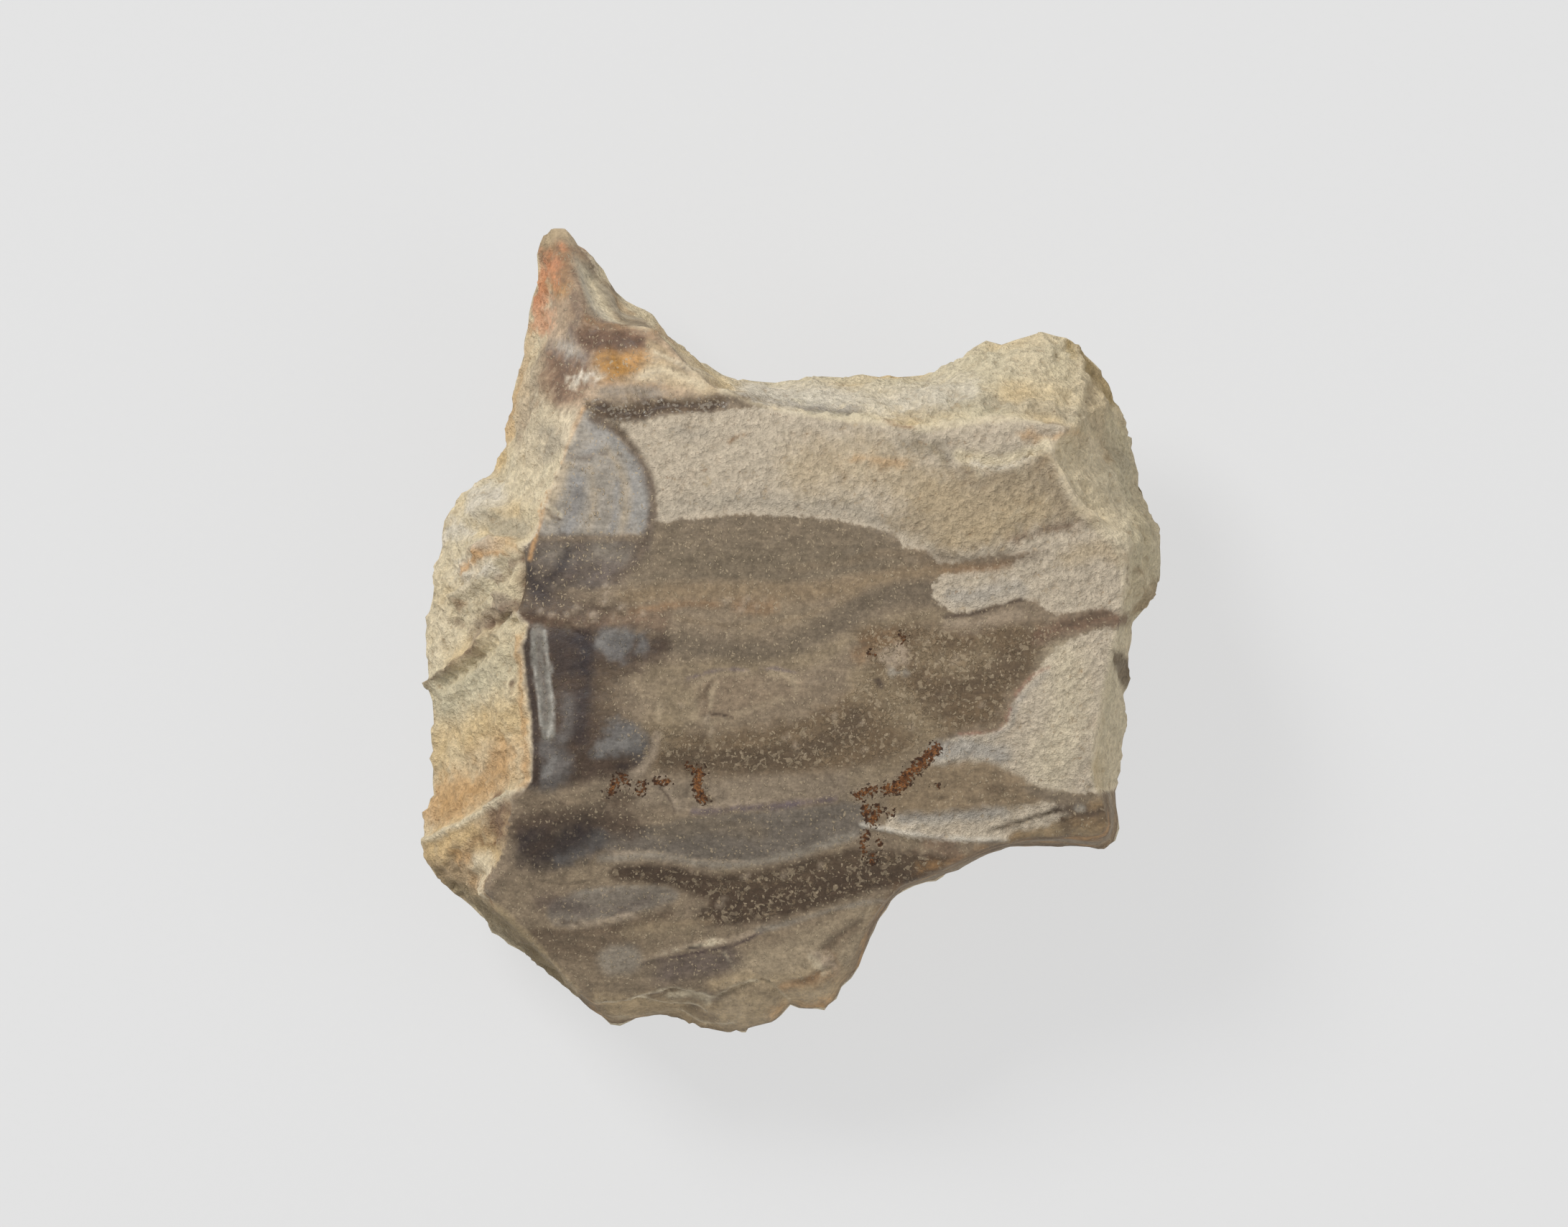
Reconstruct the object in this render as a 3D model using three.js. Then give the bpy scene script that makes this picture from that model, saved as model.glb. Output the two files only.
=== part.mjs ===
// A knapped flint nodule, lying on its back with its broad struck face up.
// Millimetres, +Z up. The origin is under the middle of the stone, on the surface that it lies on.
//
// The stone is one solid. Two closed lines run round it: the girdle, where it is widest, and the
// edge of its struck face. Struck planes give the heights: the face is the lowest of one set of
// planes, the belly under the girdle is the highest of another, and the belly ends in the flat
// spot where all of its planes have come down to zero. Both lines are star-shaped about a point
// near the middle, so the net is laid out by stations, which are directions from that point.

import * as THREE from "three";

// ---- driving dimensions ----

const MIDDLE = new THREE.Vector2(-8, -2); // both lines are star-shaped about this point
const STATION_SPACING = 1.8; // longest step between stations along the girdle
const FLANK_STEPS = 5; // rings from the girdle to the face's edge
const BELLY_STEPS = 8; // rings from the girdle to the flat spot
const FACE_WAVE = 0.35; // unevenness of the struck face
const FLANK_WAVE = 0.8; // unevenness of the flanks and the belly
const SCAR_HOLLOW = 1.7; // depth of the hollow in the middle of a belly scar
const SCAR_RIM = 6; // height over its neighbour at which a belly scar is fully hollow
const FACE_EASING = 10; // passes that even out the heights on the face
const FLANK_EASING = 2; // the same between the face's edge and the girdle
const BELLY_EASING = 4; // the same between the girdle and the flat spot

// Rings on the struck face, as shares of the way from its edge to its middle. Each ring keeps every
// nth station, so that the net stays even towards the middle.
const FACE_RINGS = [
  { share: 0.045, every: 1 },
  { share: 0.1, every: 1 },
  { share: 0.16, every: 1 },
  { share: 0.23, every: 1 },
  { share: 0.31, every: 2 },
  { share: 0.39, every: 2 },
  { share: 0.48, every: 2 },
  { share: 0.57, every: 2 },
  { share: 0.67, every: 4 },
  { share: 0.78, every: 4 },
  { share: 0.89, every: 8 },
];
const FLAT_RINGS = [
  { share: 0.33, every: 2 },
  { share: 0.66, every: 4 },
];

// ---- the lines, as [x, y], clockwise seen from above ----

const GIRDLE = [
  // the horn, from its tip down its right side into the saddle
  [-28.7, 50], [-27.2, 49.3], [-25, 47.2], [-23.2, 44.9], [-21.6, 42.4], [-18.8, 40.5],
  [-16, 37.6], [-13.2, 34.9], [-9.5, 32.7], [-6.5, 31.1], [-3, 30.8], [0, 31.2], [4, 32],
  // the far edge
  [8, 32.1], [12, 32.8], [15, 32.6], [18, 33.1], [21.5, 34.1], [24.5, 35.6], [28, 36.5],
  [31.5, 37.2], [34.6, 36.9],
  // the right flank
  [35.6, 35.6], [37.8, 32.9], [40.7, 29], [41.5, 26.6], [41.7, 24.2], [43.2, 21], [43.7, 18.2],
  [44.6, 14.9], [46, 12], [45.9, 8.8], [45.3, 5], [44.2, 2.9], [42.8, 1.8], [42.4, -1],
  [42, -5], [41.5, -9.5], [41.9, -12.2], [41, -15], [40.5, -19], [40.8, -23], [40.2, -26],
  [39.2, -27.3],
  // the notch
  [36, -27], [31, -26.9], [27.5, -26.9], [24, -28.1], [21, -29.8], [17, -31.2], [14, -32.3],
  [12, -34.6], [10.2, -37.5], [8.7, -42],
  // the near edge
  [6.6, -44.4], [4.8, -46.9], [2, -47.3], [0, -46.7], [-2.4, -49], [-5, -49.6], [-8.5, -50],
  [-12, -49.5], [-14, -48.4], [-17, -48.2], [-20, -48.8], [-22.4, -49.1],
  // the bevel
  [-26, -46.6], [-29, -43.3], [-32, -40.8], [-35, -39], [-38.5, -35.5], [-42, -32.1],
  [-45.2, -29.7], [-46, -28.3],
  // the left flank, up to the horn
  [-45.7, -24], [-44.8, -20.3], [-44.6, -18], [-45, -12], [-45.6, -7.4], [-45.4, -6.2],
  [-45.9, -3.5], [-45.3, 0.5], [-44.6, 4], [-44.1, 9], [-42.9, 13.6], [-40.7, 17.3],
  [-37.4, 20.2], [-36.3, 23.5], [-35.2, 27], [-34.2, 31], [-33.3, 34.7], [-32.6, 39.7],
  [-31.7, 43.5], [-31.3, 48.3], [-30.2, 49.5],
];

const FACE_EDGE = [
  // the left ridge, from the corner above the bevel up to the root of the horn
  [-34.2, -20.8], [-32, -18.6], [-31.9, -12], [-32.6, -6], [-33, -2], [-32.3, 0.8], [-34, 2.3],
  [-33, 6], [-33.4, 9.6], [-31.8, 11.5], [-30.4, 15], [-28.8, 19], [-27.8, 23], [-26.2, 26.5],
  // the shoulder at the root of the horn
  [-25.3, 29.5], [-24.8, 33], [-23.6, 36.5], [-20, 37.9], [-16.6, 37], [-14.5, 34.6],
  [-12.3, 32.2], [-9.5, 30],
  // the far ridge
  [-6, 28.8], [-2, 27.5], [2, 26.6], [7, 25.9], [12, 25.5], [16, 24.7], [20, 25], [24, 25.9],
  [30, 25.8], [34.3, 25],
  // the right ridge
  [32.4, 21.8], [33.8, 18.3], [35.5, 15], [37.5, 13.3], [40.6, 12], [41.5, 9.5], [41.3, 5],
  [40.9, 1.5], [39.9, -1.5], [38.9, -6], [38.3, -10], [37.6, -14], [37.3, -18], [38.6, -21],
  [39.3, -24], [38.3, -25.6],
  // along the notch
  [34, -25.3], [29, -25.6], [25, -26.6], [21, -28.4], [17, -30.2], [13.6, -31.6],
  [11.2, -34.2], [9.2, -37.5], [7.8, -40.5],
  // the near edge
  [5, -43.2], [2, -44.3], [-2, -44.6], [-5, -43.5], [-8, -44.8], [-12, -44.8], [-16, -45.2],
  [-20, -46], [-24, -46.4],
  // the bevel
  [-27, -44], [-30, -41], [-33, -38.2], [-36.2, -34.8], [-37.6, -31.5], [-35.6, -27.5],
  [-34.6, -24],
];

// ---- the planes ----
// A plane goes through its point and slopes along its direction, in degrees anticlockwise from
// +X. fall and rise are in mm per mm.

const FACE_PLANES = [
  { point: [0, 5, 41], direction: 270, fall: 0.03 }, // the broad middle
  { point: [-24, 0, 40], direction: 180, fall: 0.32 }, // the left panel
  { point: [-25, -22, 38.5], direction: 225, fall: 0.45 }, // above the bevel
  { point: [-5, -18, 39.5], direction: 265, fall: 0.5 }, // the near slope
  { point: [28, -16, 39.2], direction: 300, fall: 0.42 }, // above the notch
  { point: [30, 5, 40.2], direction: 0, fall: 0.3 }, // the right margin
  { point: [8, 22, 40.4], direction: 90, fall: 0.28 }, // the far margin
  { point: [-20, 26, 39.2], direction: 105, fall: 0.46 }, // the root of the horn
];

const BELLY_PLANES = [
  { point: [27, 0, 0], direction: -6, rise: 1.25 }, // steep under the right flank
  { point: [22, 13, 0], direction: 42, rise: 0.8 },
  { point: [2, 18, 0], direction: 86, rise: 1.5 }, // steep under the saddle
  { point: [-14, 13, 0], direction: 118, rise: 0.6 }, // under the horn
  { point: [-21, 2, 0], direction: 172, rise: 0.72 },
  { point: [-19, -12, 0], direction: 214, rise: 0.52 },
  { point: [-8, -20, 0], direction: 256, rise: 0.5 }, // the long slope to the near edge
  { point: [9, -19, 0], direction: 296, rise: 0.95 }, // under the notch
  { point: [20, -13, 0], direction: 330, rise: 0.9 },
];

// Above this tilted plane the belly bends outwards, and keeps only a share of its slope.
const BELLY_BEND = { height: 20, perX: 0.1, perY: -0.07, share: 0.16 };

// Between the face's edge and the girdle each profile bends at a shoulder. out is how far along
// the way to the girdle it lies, and lift is how far it stands above the straight line.
const SHOULDERS = [
  { direction: 0, out: 0.5, lift: 0.6 }, // the right flank, nearly upright
  { direction: 12, out: 0.55, lift: 2.4 },
  { direction: 23, out: 0.62, lift: 4.0 }, // the slanting facet over the right corner
  { direction: 29, out: 0.6, lift: 1.4 },
  { direction: 38, out: 0.75, lift: 2.6 },
  { direction: 46, out: 0.6, lift: 1.2 }, // the far flank, one broad scar
  { direction: 70, out: 0.55, lift: -0.6 },
  { direction: 88, out: 0.5, lift: -1.0 },
  { direction: 98, out: 0.4, lift: -2.4 },
  { direction: 105, out: 0.45, lift: -3.6 }, // the hollow beside the horn
  { direction: 110, out: 0.5, lift: 0.4 },
  { direction: 113, out: 0.6, lift: 3.0 }, // the crest of the horn
  { direction: 119, out: 0.6, lift: 1.6 },
  { direction: 128, out: 0.72, lift: 3.0 },
  { direction: 145, out: 0.6, lift: 2.0 }, // the left flank
  { direction: 165, out: 0.5, lift: 2.4 },
  { direction: 184, out: 0.5, lift: 1.0 },
  { direction: 200, out: 0.5, lift: -0.4 },
  { direction: 214, out: 0.5, lift: 0.6 },
  { direction: 221, out: 0.5, lift: 1.8 },
  { direction: 236, out: 0.5, lift: 0.4 }, // the bevel
  { direction: 260, out: 0.45, lift: 1.0 },
  { direction: 300, out: 0.5, lift: 0.4 },
  { direction: 330, out: 0.5, lift: 0.4 },
];

// ---- heights ----

const mix = THREE.MathUtils.lerp;
const radians = THREE.MathUtils.degToRad;

// How far a place lies from a plane's point, along the plane's direction.
function along(plane, x, y) {
  const angle = radians(plane.direction);
  return (x - plane.point[0]) * Math.cos(angle) + (y - plane.point[1]) * Math.sin(angle);
}

// Smooth unevenness between about -1 and 1, from waves that cross at odd angles.
function unevenness(x, y, z) {
  return (
    (Math.sin(0.31 * x + 0.17 * y + 0.23 * z) +
      Math.sin(-0.19 * x + 0.36 * y + 0.11 * z + 1.7) +
      Math.sin(0.53 * x - 0.41 * y + 0.37 * z + 4.1) * 0.6 +
      Math.sin(0.24 * x + 0.71 * y - 0.52 * z + 2.9) * 0.4) /
    3
  );
}

function faceHeight(x, y) {
  const heights = FACE_PLANES.map((plane) => plane.point[2] - plane.fall * along(plane, x, y));
  return Math.min(...heights) + FACE_WAVE * unevenness(x, y, 0);
}

// hollowing is 0 where scars stay plane and 1 where they are hollowed.
function bellyHeight(x, y, hollowing) {
  const heights = BELLY_PLANES.map((plane) => plane.rise * along(plane, x, y));
  heights.sort((a, b) => b - a);
  const margin = THREE.MathUtils.smoothstep(heights[0] - heights[1], 0, SCAR_RIM);
  const bend = BELLY_BEND.height + BELLY_BEND.perX * x + BELLY_BEND.perY * y;
  const bent = heights[0] - Math.max(0, heights[0] - bend) * (1 - BELLY_BEND.share);
  return Math.max(0, bent + SCAR_HOLLOW * margin * hollowing);
}

// ---- stations ----

function angleOf(point) {
  return Math.atan2(point.y - MIDDLE.y, point.x - MIDDLE.x);
}

// Where the ray from the middle along an angle crosses a closed line.
function cut(line, angle) {
  const ray = new THREE.Vector2(Math.cos(angle), Math.sin(angle));
  const corners = line.map(([x, y]) => new THREE.Vector2(x, y));
  for (let i = 0; i < corners.length; i++) {
    const a = corners[i].clone().sub(MIDDLE);
    const b = corners[(i + 1) % corners.length].clone().sub(MIDDLE);
    const left = ray.cross(a);
    const right = ray.cross(b);
    if (ray.dot(a) > 0 && left >= 0 && right < 0) {
      return a.lerp(b, left / (left - right)).add(MIDDLE);
    }
  }
  throw new Error(`the line has no cut at ${angle}`);
}

// Where the ray leaves the flat spot: the first belly plane that rises above zero.
function flatCut(angle) {
  const reaches = BELLY_PLANES.map((plane) => {
    const approach = Math.cos(angle - radians(plane.direction));
    return approach > 0 ? -along(plane, MIDDLE.x, MIDDLE.y) / approach : Infinity;
  });
  const reach = Math.min(...reaches);
  return new THREE.Vector2(Math.cos(angle), Math.sin(angle)).multiplyScalar(reach).add(MIDDLE);
}

// A shoulder at an angle, eased between the entries on either side.
function shoulderAt(angle) {
  const degrees = THREE.MathUtils.euclideanModulo(THREE.MathUtils.radToDeg(angle), 360);
  const found = SHOULDERS.findIndex((entry) => entry.direction > degrees);
  const next = found < 0 ? SHOULDERS.length : found;
  const before = SHOULDERS[next - 1];
  const after = SHOULDERS[next % SHOULDERS.length];
  const span = THREE.MathUtils.euclideanModulo(after.direction - before.direction, 360);
  const share = THREE.MathUtils.smoothstep((degrees - before.direction) / span, 0, 1);
  return { out: mix(before.out, after.out, share), lift: mix(before.lift, after.lift, share) };
}

// The girdle's own corners and even steps between them. Their number is made a multiple of 8, so
// that the thinned rings near the middle close.
function stationAngles() {
  const points = [];
  GIRDLE.forEach(([x, y], i) => {
    const a = new THREE.Vector2(x, y);
    const b = new THREE.Vector2(...GIRDLE[(i + 1) % GIRDLE.length]);
    const steps = Math.max(1, Math.round(a.distanceTo(b) / STATION_SPACING));
    for (let s = 0; s < steps; s++) points.push(a.clone().lerp(b, s / steps));
  });
  while (points.length % 8) {
    const gaps = points.map((p, i) => p.distanceTo(points[(i + 1) % points.length]));
    const widest = gaps.indexOf(Math.max(...gaps));
    const halfway = points[widest].clone().lerp(points[(widest + 1) % points.length], 0.5);
    points.splice(widest + 1, 0, halfway);
  }
  return points.map(angleOf);
}

function makeStation(angle) {
  const girdle = cut(GIRDLE, angle);
  const edge = cut(FACE_EDGE, angle);
  return {
    girdle: new THREE.Vector3(girdle.x, girdle.y, bellyHeight(girdle.x, girdle.y, 0)),
    edge: new THREE.Vector3(edge.x, edge.y, faceHeight(edge.x, edge.y)),
    flat: flatCut(angle),
    shoulder: shoulderAt(angle),
  };
}

// ---- the profile at one station ----

function facePoint({ edge }, share) {
  const x = mix(edge.x, MIDDLE.x, share);
  const y = mix(edge.y, MIDDLE.y, share);
  return new THREE.Vector3(x, y, faceHeight(x, y));
}

function flankPoint({ edge, girdle, shoulder }, share) {
  const bend = edge.clone().lerp(girdle, shoulder.out);
  bend.z += shoulder.lift;
  const inner = share < shoulder.out;
  const part = inner ? share / shoulder.out : (share - shoulder.out) / (1 - shoulder.out);
  const p = inner ? edge.clone().lerp(bend, part) : bend.clone().lerp(girdle, part);
  p.z += FLANK_WAVE * unevenness(p.x, p.y, p.z) * Math.sin(Math.PI * share);
  return p;
}

function bellyPoint({ girdle, flat }, share) {
  const x = mix(girdle.x, flat.x, share);
  const y = mix(girdle.y, flat.y, share);
  const swell = Math.sin(Math.PI * share);
  const z = bellyHeight(x, y, swell) + FLANK_WAVE * unevenness(x, y, 0) * swell;
  return new THREE.Vector3(x, y, z);
}

// ---- the net ----

const vertices = [];
const triangles = [];

// Adds a ring of vertices and returns their numbers.
function addRing(points) {
  const first = vertices.length;
  vertices.push(...points);
  return points.map((_, i) => first + i);
}

// Joins a ring to the next one in, which has as many vertices or half as many.
function joinRings(outer, inner) {
  const ratio = outer.length / inner.length;
  inner.forEach((near, i) => {
    const rim = [];
    for (let k = 0; k <= ratio; k++) rim.push(outer[(i * ratio + k) % outer.length]);
    for (let k = 0; k < ratio; k++) triangles.push([rim[k], rim[k + 1], near]);
    triangles.push([rim[ratio], inner[(i + 1) % inner.length], near]);
  });
}

// Closes the innermost ring with a fan about one vertex.
function joinToPoint(ring, point) {
  const [tip] = addRing([point]);
  ring.forEach((a, i) => triangles.push([a, ring[(i + 1) % ring.length], tip]));
}

// Evens out the heights of the vertices in a range: each pass moves a vertex half way to the mean
// of its neighbours.
function easeHeights(from, to, passes) {
  const neighbours = vertices.map(() => new Set());
  for (const [a, b, c] of triangles) {
    neighbours[a].add(b).add(c);
    neighbours[b].add(a).add(c);
    neighbours[c].add(a).add(b);
  }
  for (let pass = 0; pass < passes; pass++) {
    const before = vertices.map((p) => p.z);
    for (let i = from; i < to; i++) {
      const around = [...neighbours[i]];
      const mean = around.reduce((sum, j) => sum + before[j], 0) / around.length;
      vertices[i].z = mix(before[i], mean, 0.5);
    }
  }
}

function buildStone() {
  const stations = stationAngles().map(makeStation);
  const thinned = (every) => stations.filter((_, i) => i % every === 0);
  const girdleRing = addRing(stations.map((station) => station.girdle));

  // up from the girdle to the face's edge
  let ring = girdleRing;
  const flankStart = vertices.length;
  for (let k = FLANK_STEPS - 1; k >= 0; k--) {
    const inner = addRing(stations.map((station) => flankPoint(station, k / FLANK_STEPS)));
    joinRings(ring, inner);
    ring = inner;
  }
  const flankEnd = vertices.length - stations.length;

  // across the face
  const faceStart = vertices.length;
  for (const { share, every } of FACE_RINGS) {
    const inner = addRing(thinned(every).map((station) => facePoint(station, share)));
    joinRings(ring, inner);
    ring = inner;
  }
  joinToPoint(ring, new THREE.Vector3(MIDDLE.x, MIDDLE.y, faceHeight(MIDDLE.x, MIDDLE.y)));
  const faceEnd = vertices.length;

  // down from the girdle to the flat spot, and across it, with the triangles turned over
  const firstBelow = triangles.length;
  ring = girdleRing;
  for (let k = 1; k < BELLY_STEPS; k++) {
    const inner = addRing(stations.map((station) => bellyPoint(station, k / BELLY_STEPS)));
    joinRings(ring, inner);
    ring = inner;
  }
  const bellyEnd = vertices.length;
  for (const { share, every } of [{ share: 0, every: 1 }, ...FLAT_RINGS]) {
    const inner = addRing(
      thinned(every).map(({ flat }) => {
        const p = flat.clone().lerp(MIDDLE, share);
        return new THREE.Vector3(p.x, p.y, 0);
      }),
    );
    joinRings(ring, inner);
    ring = inner;
  }
  joinToPoint(ring, new THREE.Vector3(MIDDLE.x, MIDDLE.y, 0));
  for (let i = firstBelow; i < triangles.length; i++) triangles[i].reverse();

  easeHeights(faceStart, faceEnd, FACE_EASING);
  easeHeights(flankStart, flankEnd, FLANK_EASING);
  easeHeights(faceEnd, bellyEnd, BELLY_EASING);

  // The lines run clockwise, so every triangle is turned to face outwards.
  const geometry = new THREE.BufferGeometry();
  const coordinates = vertices.flatMap((p) => [p.x, p.y, p.z]);
  geometry.setAttribute("position", new THREE.Float32BufferAttribute(coordinates, 3));
  geometry.setIndex(triangles.flatMap(([a, b, c]) => [a, c, b]));
  geometry.computeVertexNormals();
  return geometry;
}

const flint = new THREE.Mesh(
  buildStone(),
  new THREE.MeshStandardMaterial({ color: 0x9c8d78, roughness: 0.62, metalness: 0 }),
);
flint.name = "flint_nodule";

const part = new THREE.Group();
part.add(flint);

export default part;
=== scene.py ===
"""A knapped flint nodule: its weathered and broken surface, a pale floor, soft light and a camera.

Places on the stone are millimetres in plan, seen from straight above, as in the frame.
"""

import math

import bpy
import numpy as np
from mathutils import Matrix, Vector


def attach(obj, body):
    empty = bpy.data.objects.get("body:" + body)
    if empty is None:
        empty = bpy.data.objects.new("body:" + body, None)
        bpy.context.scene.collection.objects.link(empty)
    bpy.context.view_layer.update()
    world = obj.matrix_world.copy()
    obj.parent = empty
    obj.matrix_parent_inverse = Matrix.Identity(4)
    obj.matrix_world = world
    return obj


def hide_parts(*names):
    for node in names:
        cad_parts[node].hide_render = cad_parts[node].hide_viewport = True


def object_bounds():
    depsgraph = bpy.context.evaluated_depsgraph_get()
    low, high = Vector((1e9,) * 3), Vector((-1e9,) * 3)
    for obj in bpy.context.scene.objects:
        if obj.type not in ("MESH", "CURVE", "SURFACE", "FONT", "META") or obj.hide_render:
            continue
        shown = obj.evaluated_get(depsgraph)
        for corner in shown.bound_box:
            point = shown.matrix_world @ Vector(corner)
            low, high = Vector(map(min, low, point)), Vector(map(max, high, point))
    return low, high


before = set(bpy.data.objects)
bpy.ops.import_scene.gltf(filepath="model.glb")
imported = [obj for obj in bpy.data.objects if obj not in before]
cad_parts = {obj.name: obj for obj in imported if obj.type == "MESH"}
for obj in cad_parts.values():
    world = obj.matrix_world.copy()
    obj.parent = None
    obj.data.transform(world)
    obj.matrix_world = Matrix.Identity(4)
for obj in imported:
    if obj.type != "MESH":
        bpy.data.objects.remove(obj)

cad_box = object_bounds()

MM = 0.001
NODE = "flint_nodule"


# ---- colours ----


def linear(red, green, blue):
    """Linear colour from display values of 0 to 255."""
    display = np.array([red, green, blue]) / 255
    return np.where(display <= 0.04045, display / 12.92, ((display + 0.055) / 1.055) ** 2.4)


COLOURS = {
    # clear and smoky flint
    "flint": linear(138, 121, 100),
    "lens": linear(127, 112, 92),
    "lens_core": linear(117, 104, 85),
    "tan": linear(142, 122, 96),
    "grey_band": linear(118, 104, 86),
    "light_band": linear(142, 125, 100),
    "olive": linear(115, 96, 73),
    "deep_olive": linear(97, 81, 63),
    "pale_olive": linear(150, 133, 106),
    "olive_glass": linear(140, 121, 96),
    "slate": linear(117, 107, 95),
    "slate_edge": linear(154, 144, 129),
    "smoke": linear(98, 81, 64),
    "deep_smoke": linear(84, 68, 53),
    "lilac": linear(135, 124, 110),
    "haze": linear(137, 120, 98),
    "violet_grey": linear(105, 92, 84),
    "edge_glass": linear(182, 160, 126),
    # dark parts
    "umber": linear(78, 63, 51),
    "ink": linear(50, 42, 42),
    # painted shadow along the crust's edge by the dark panel
    "violet": linear(78, 64, 60),
    "painted_shadow_line": linear(66, 53, 44),
    "blue": linear(108, 104, 100),
    "blue_edge": linear(140, 136, 130),
    "grey_streak": linear(122, 117, 107),
    "pale_streak": linear(168, 164, 154),
    "arc": linear(106, 91, 76),
    "arc_halo": linear(150, 147, 142),
    # pale parts
    "chalk": linear(206, 191, 168),
    "chalk_warm": linear(196, 175, 141),
    "chalk_shade": linear(172, 154, 127),
    "chalk_grey": linear(160, 151, 136),
    "chalk_blue": linear(166, 162, 155),
    "fan": linear(158, 149, 136),
    "fan_low": linear(104, 92, 80),
    "vein_blue": linear(142, 140, 138),
    "pink": linear(142, 123, 101),
    "pink_band": linear(143, 127, 107),
    "rose": linear(172, 154, 132),
    "horn": linear(186, 162, 134),
    "cream": linear(226, 211, 180),
    "white": linear(223, 214, 197),
    "crust": linear(224, 207, 172),
    "crust_green": linear(206, 197, 168),
    "crust_yellow": linear(222, 192, 140),
    "crust_olive": linear(188, 175, 148),
    "crumb": linear(190, 165, 130),
    "moss": linear(144, 128, 100),
    "hollow_green": linear(190, 178, 153),
    # stains
    "ochre": linear(205, 158, 104),
    "amber": linear(168, 124, 66),
    "orange": linear(212, 144, 103),
    "brown": linear(124, 98, 78),
    "chestnut": linear(116, 88, 68),
    "cocoa": linear(104, 80, 63),
    "light_brown": linear(148, 116, 84),
    "earth": linear(150, 126, 94),
    "mustard": linear(170, 145, 95),
    "rust": linear(102, 62, 30),
    "rust_rim": linear(142, 94, 52),
    "soot": linear(62, 40, 24),
    "red": linear(170, 118, 102),
    "mauve": linear(108, 95, 101),
}


# ---- the painted surface: patches and strokes, in the order that they lie on each other ----


def patch(colour, points, soft=0.5, ragged=0.6, strength=1.0):
    return dict(colour=colour, points=points, width=None, soft=soft, ragged=ragged, strength=strength)


def stroke(colour, width, points, soft=0.35, ragged=0.35, strength=1.0):
    return dict(colour=colour, points=points, width=width, soft=soft, ragged=ragged, strength=strength)


# The band where chalk took over from flint along the far side of the struck face.
FAR_CHALK = [
    (-24.2, 27.2), (-22.7, 25.8), (-20.2, 23), (-18, 20.2), (-16.7, 17.2), (-16.4, 14.6),
    (-16.6, 13.6), (-12, 13.9), (-6, 14.4), (0, 14.1), (4, 13.9), (8, 13.1), (11, 12.4),
    (13, 11.9), (14, 10.4), (16.5, 10), (18, 8.6), (20.5, 8.3), (24, 9.1), (28, 9.4),
    (31.5, 9.8), (35, 10.8), (38, 12), (41, 12.5), (38, 13.5), (35.5, 15.2), (33.8, 18.5),
    (32.2, 22), (34, 25), (30, 26), (24, 26.1), (20, 25.2), (16, 25), (12, 25.8), (7, 26.2),
    (2, 26.9), (-2, 27.4), (-6, 27.4), (-9, 27.1), (-14, 26.8), (-20, 26.3),
]
RIGHT_CHALK = [
    (19.4, 7), (21.6, 7.3), (25, 7.6), (28, 8.8), (31, 10.4), (36, 12), (41.5, 12.7), (41.8, 9), (41.3, 5),
    (41, 1.8), (37.5, 2.6), (33, 2.2), (29, 3.9), (25, 3), (21, 2.2), (18.9, 3), (17.6, 4.6), (17.9, 6),
]
NEAR_CHALK = [
    (40.2, 0.2), (36, -0.6), (32.5, -2.6), (30.3, -5.3), (28.4, -7.6), (27.2, -9.6),
    (26.5, -12), (23, -12.8), (20, -13.4), (18.3, -14.8), (17.2, -16.2), (19, -17),
    (24, -16.6), (27, -17.6), (30, -19.2), (35, -20), (38.3, -19.8), (37.6, -17),
    (37.8, -13), (38.6, -9), (39.8, -4),
]
NEAR_STRIP = [
    (12.5, -22.8), (20, -22), (28, -21.4), (32, -21), (34.5, -22.6), (35, -23.4), (30, -25),
    (24, -25.8), (18, -26), (13, -25),
]
LENS = [
    (-17, 13.4), (-12, 13.9), (-6, 14.4), (0, 14.1), (4, 13.9), (8, 13.1), (11, 12.4),
    (14, 10.4), (17.5, 8.9), (18.8, 8.2), (14, 7.6), (10, 7), (5, 6.3), (0, 5.6), (-5, 5.6),
    (-10, 5.9), (-15, 5.2), (-18.5, 4.6), (-20, 6.5), (-18.5, 9.3), (-17.3, 12),
]
DRUSE = [(-24.6, 28), (-22, 27), (-18.6, 27), (-15.5, 27.8), (-12, 27.8), (-8.6, 28)]
SPECKLED = [
    (8, -0.5), (14, 0.8), (20, 0.5), (26, 1.4), (32, 0), (34.5, -0.8), (31.5, -3),
    (29.5, -5.5), (27, -8), (25.5, -11.5), (22, -12.2), (18, -13.8), (13, -15.8), (6, -17.2),
    (-4, -17.6), (-14, -17.3), (-19, -16), (-17, -11.5), (-10, -12.8), (0, -11.2), (6, -8.4),
    (9.5, -4),
]
DARK_BAND = [
    (-22, -29.3), (-15, -29), (-10, -30.2), (-5, -30), (0, -29), (5, -27.6), (10, -27.2),
    (16, -27.6), (20, -28), (18, -30), (14, -31.3), (9, -32.6), (4, -34), (-2, -35.6),
    (-8, -36.6), (-12, -35.5), (-10, -33.5), (-16, -31.5), (-21, -31),
]
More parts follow.
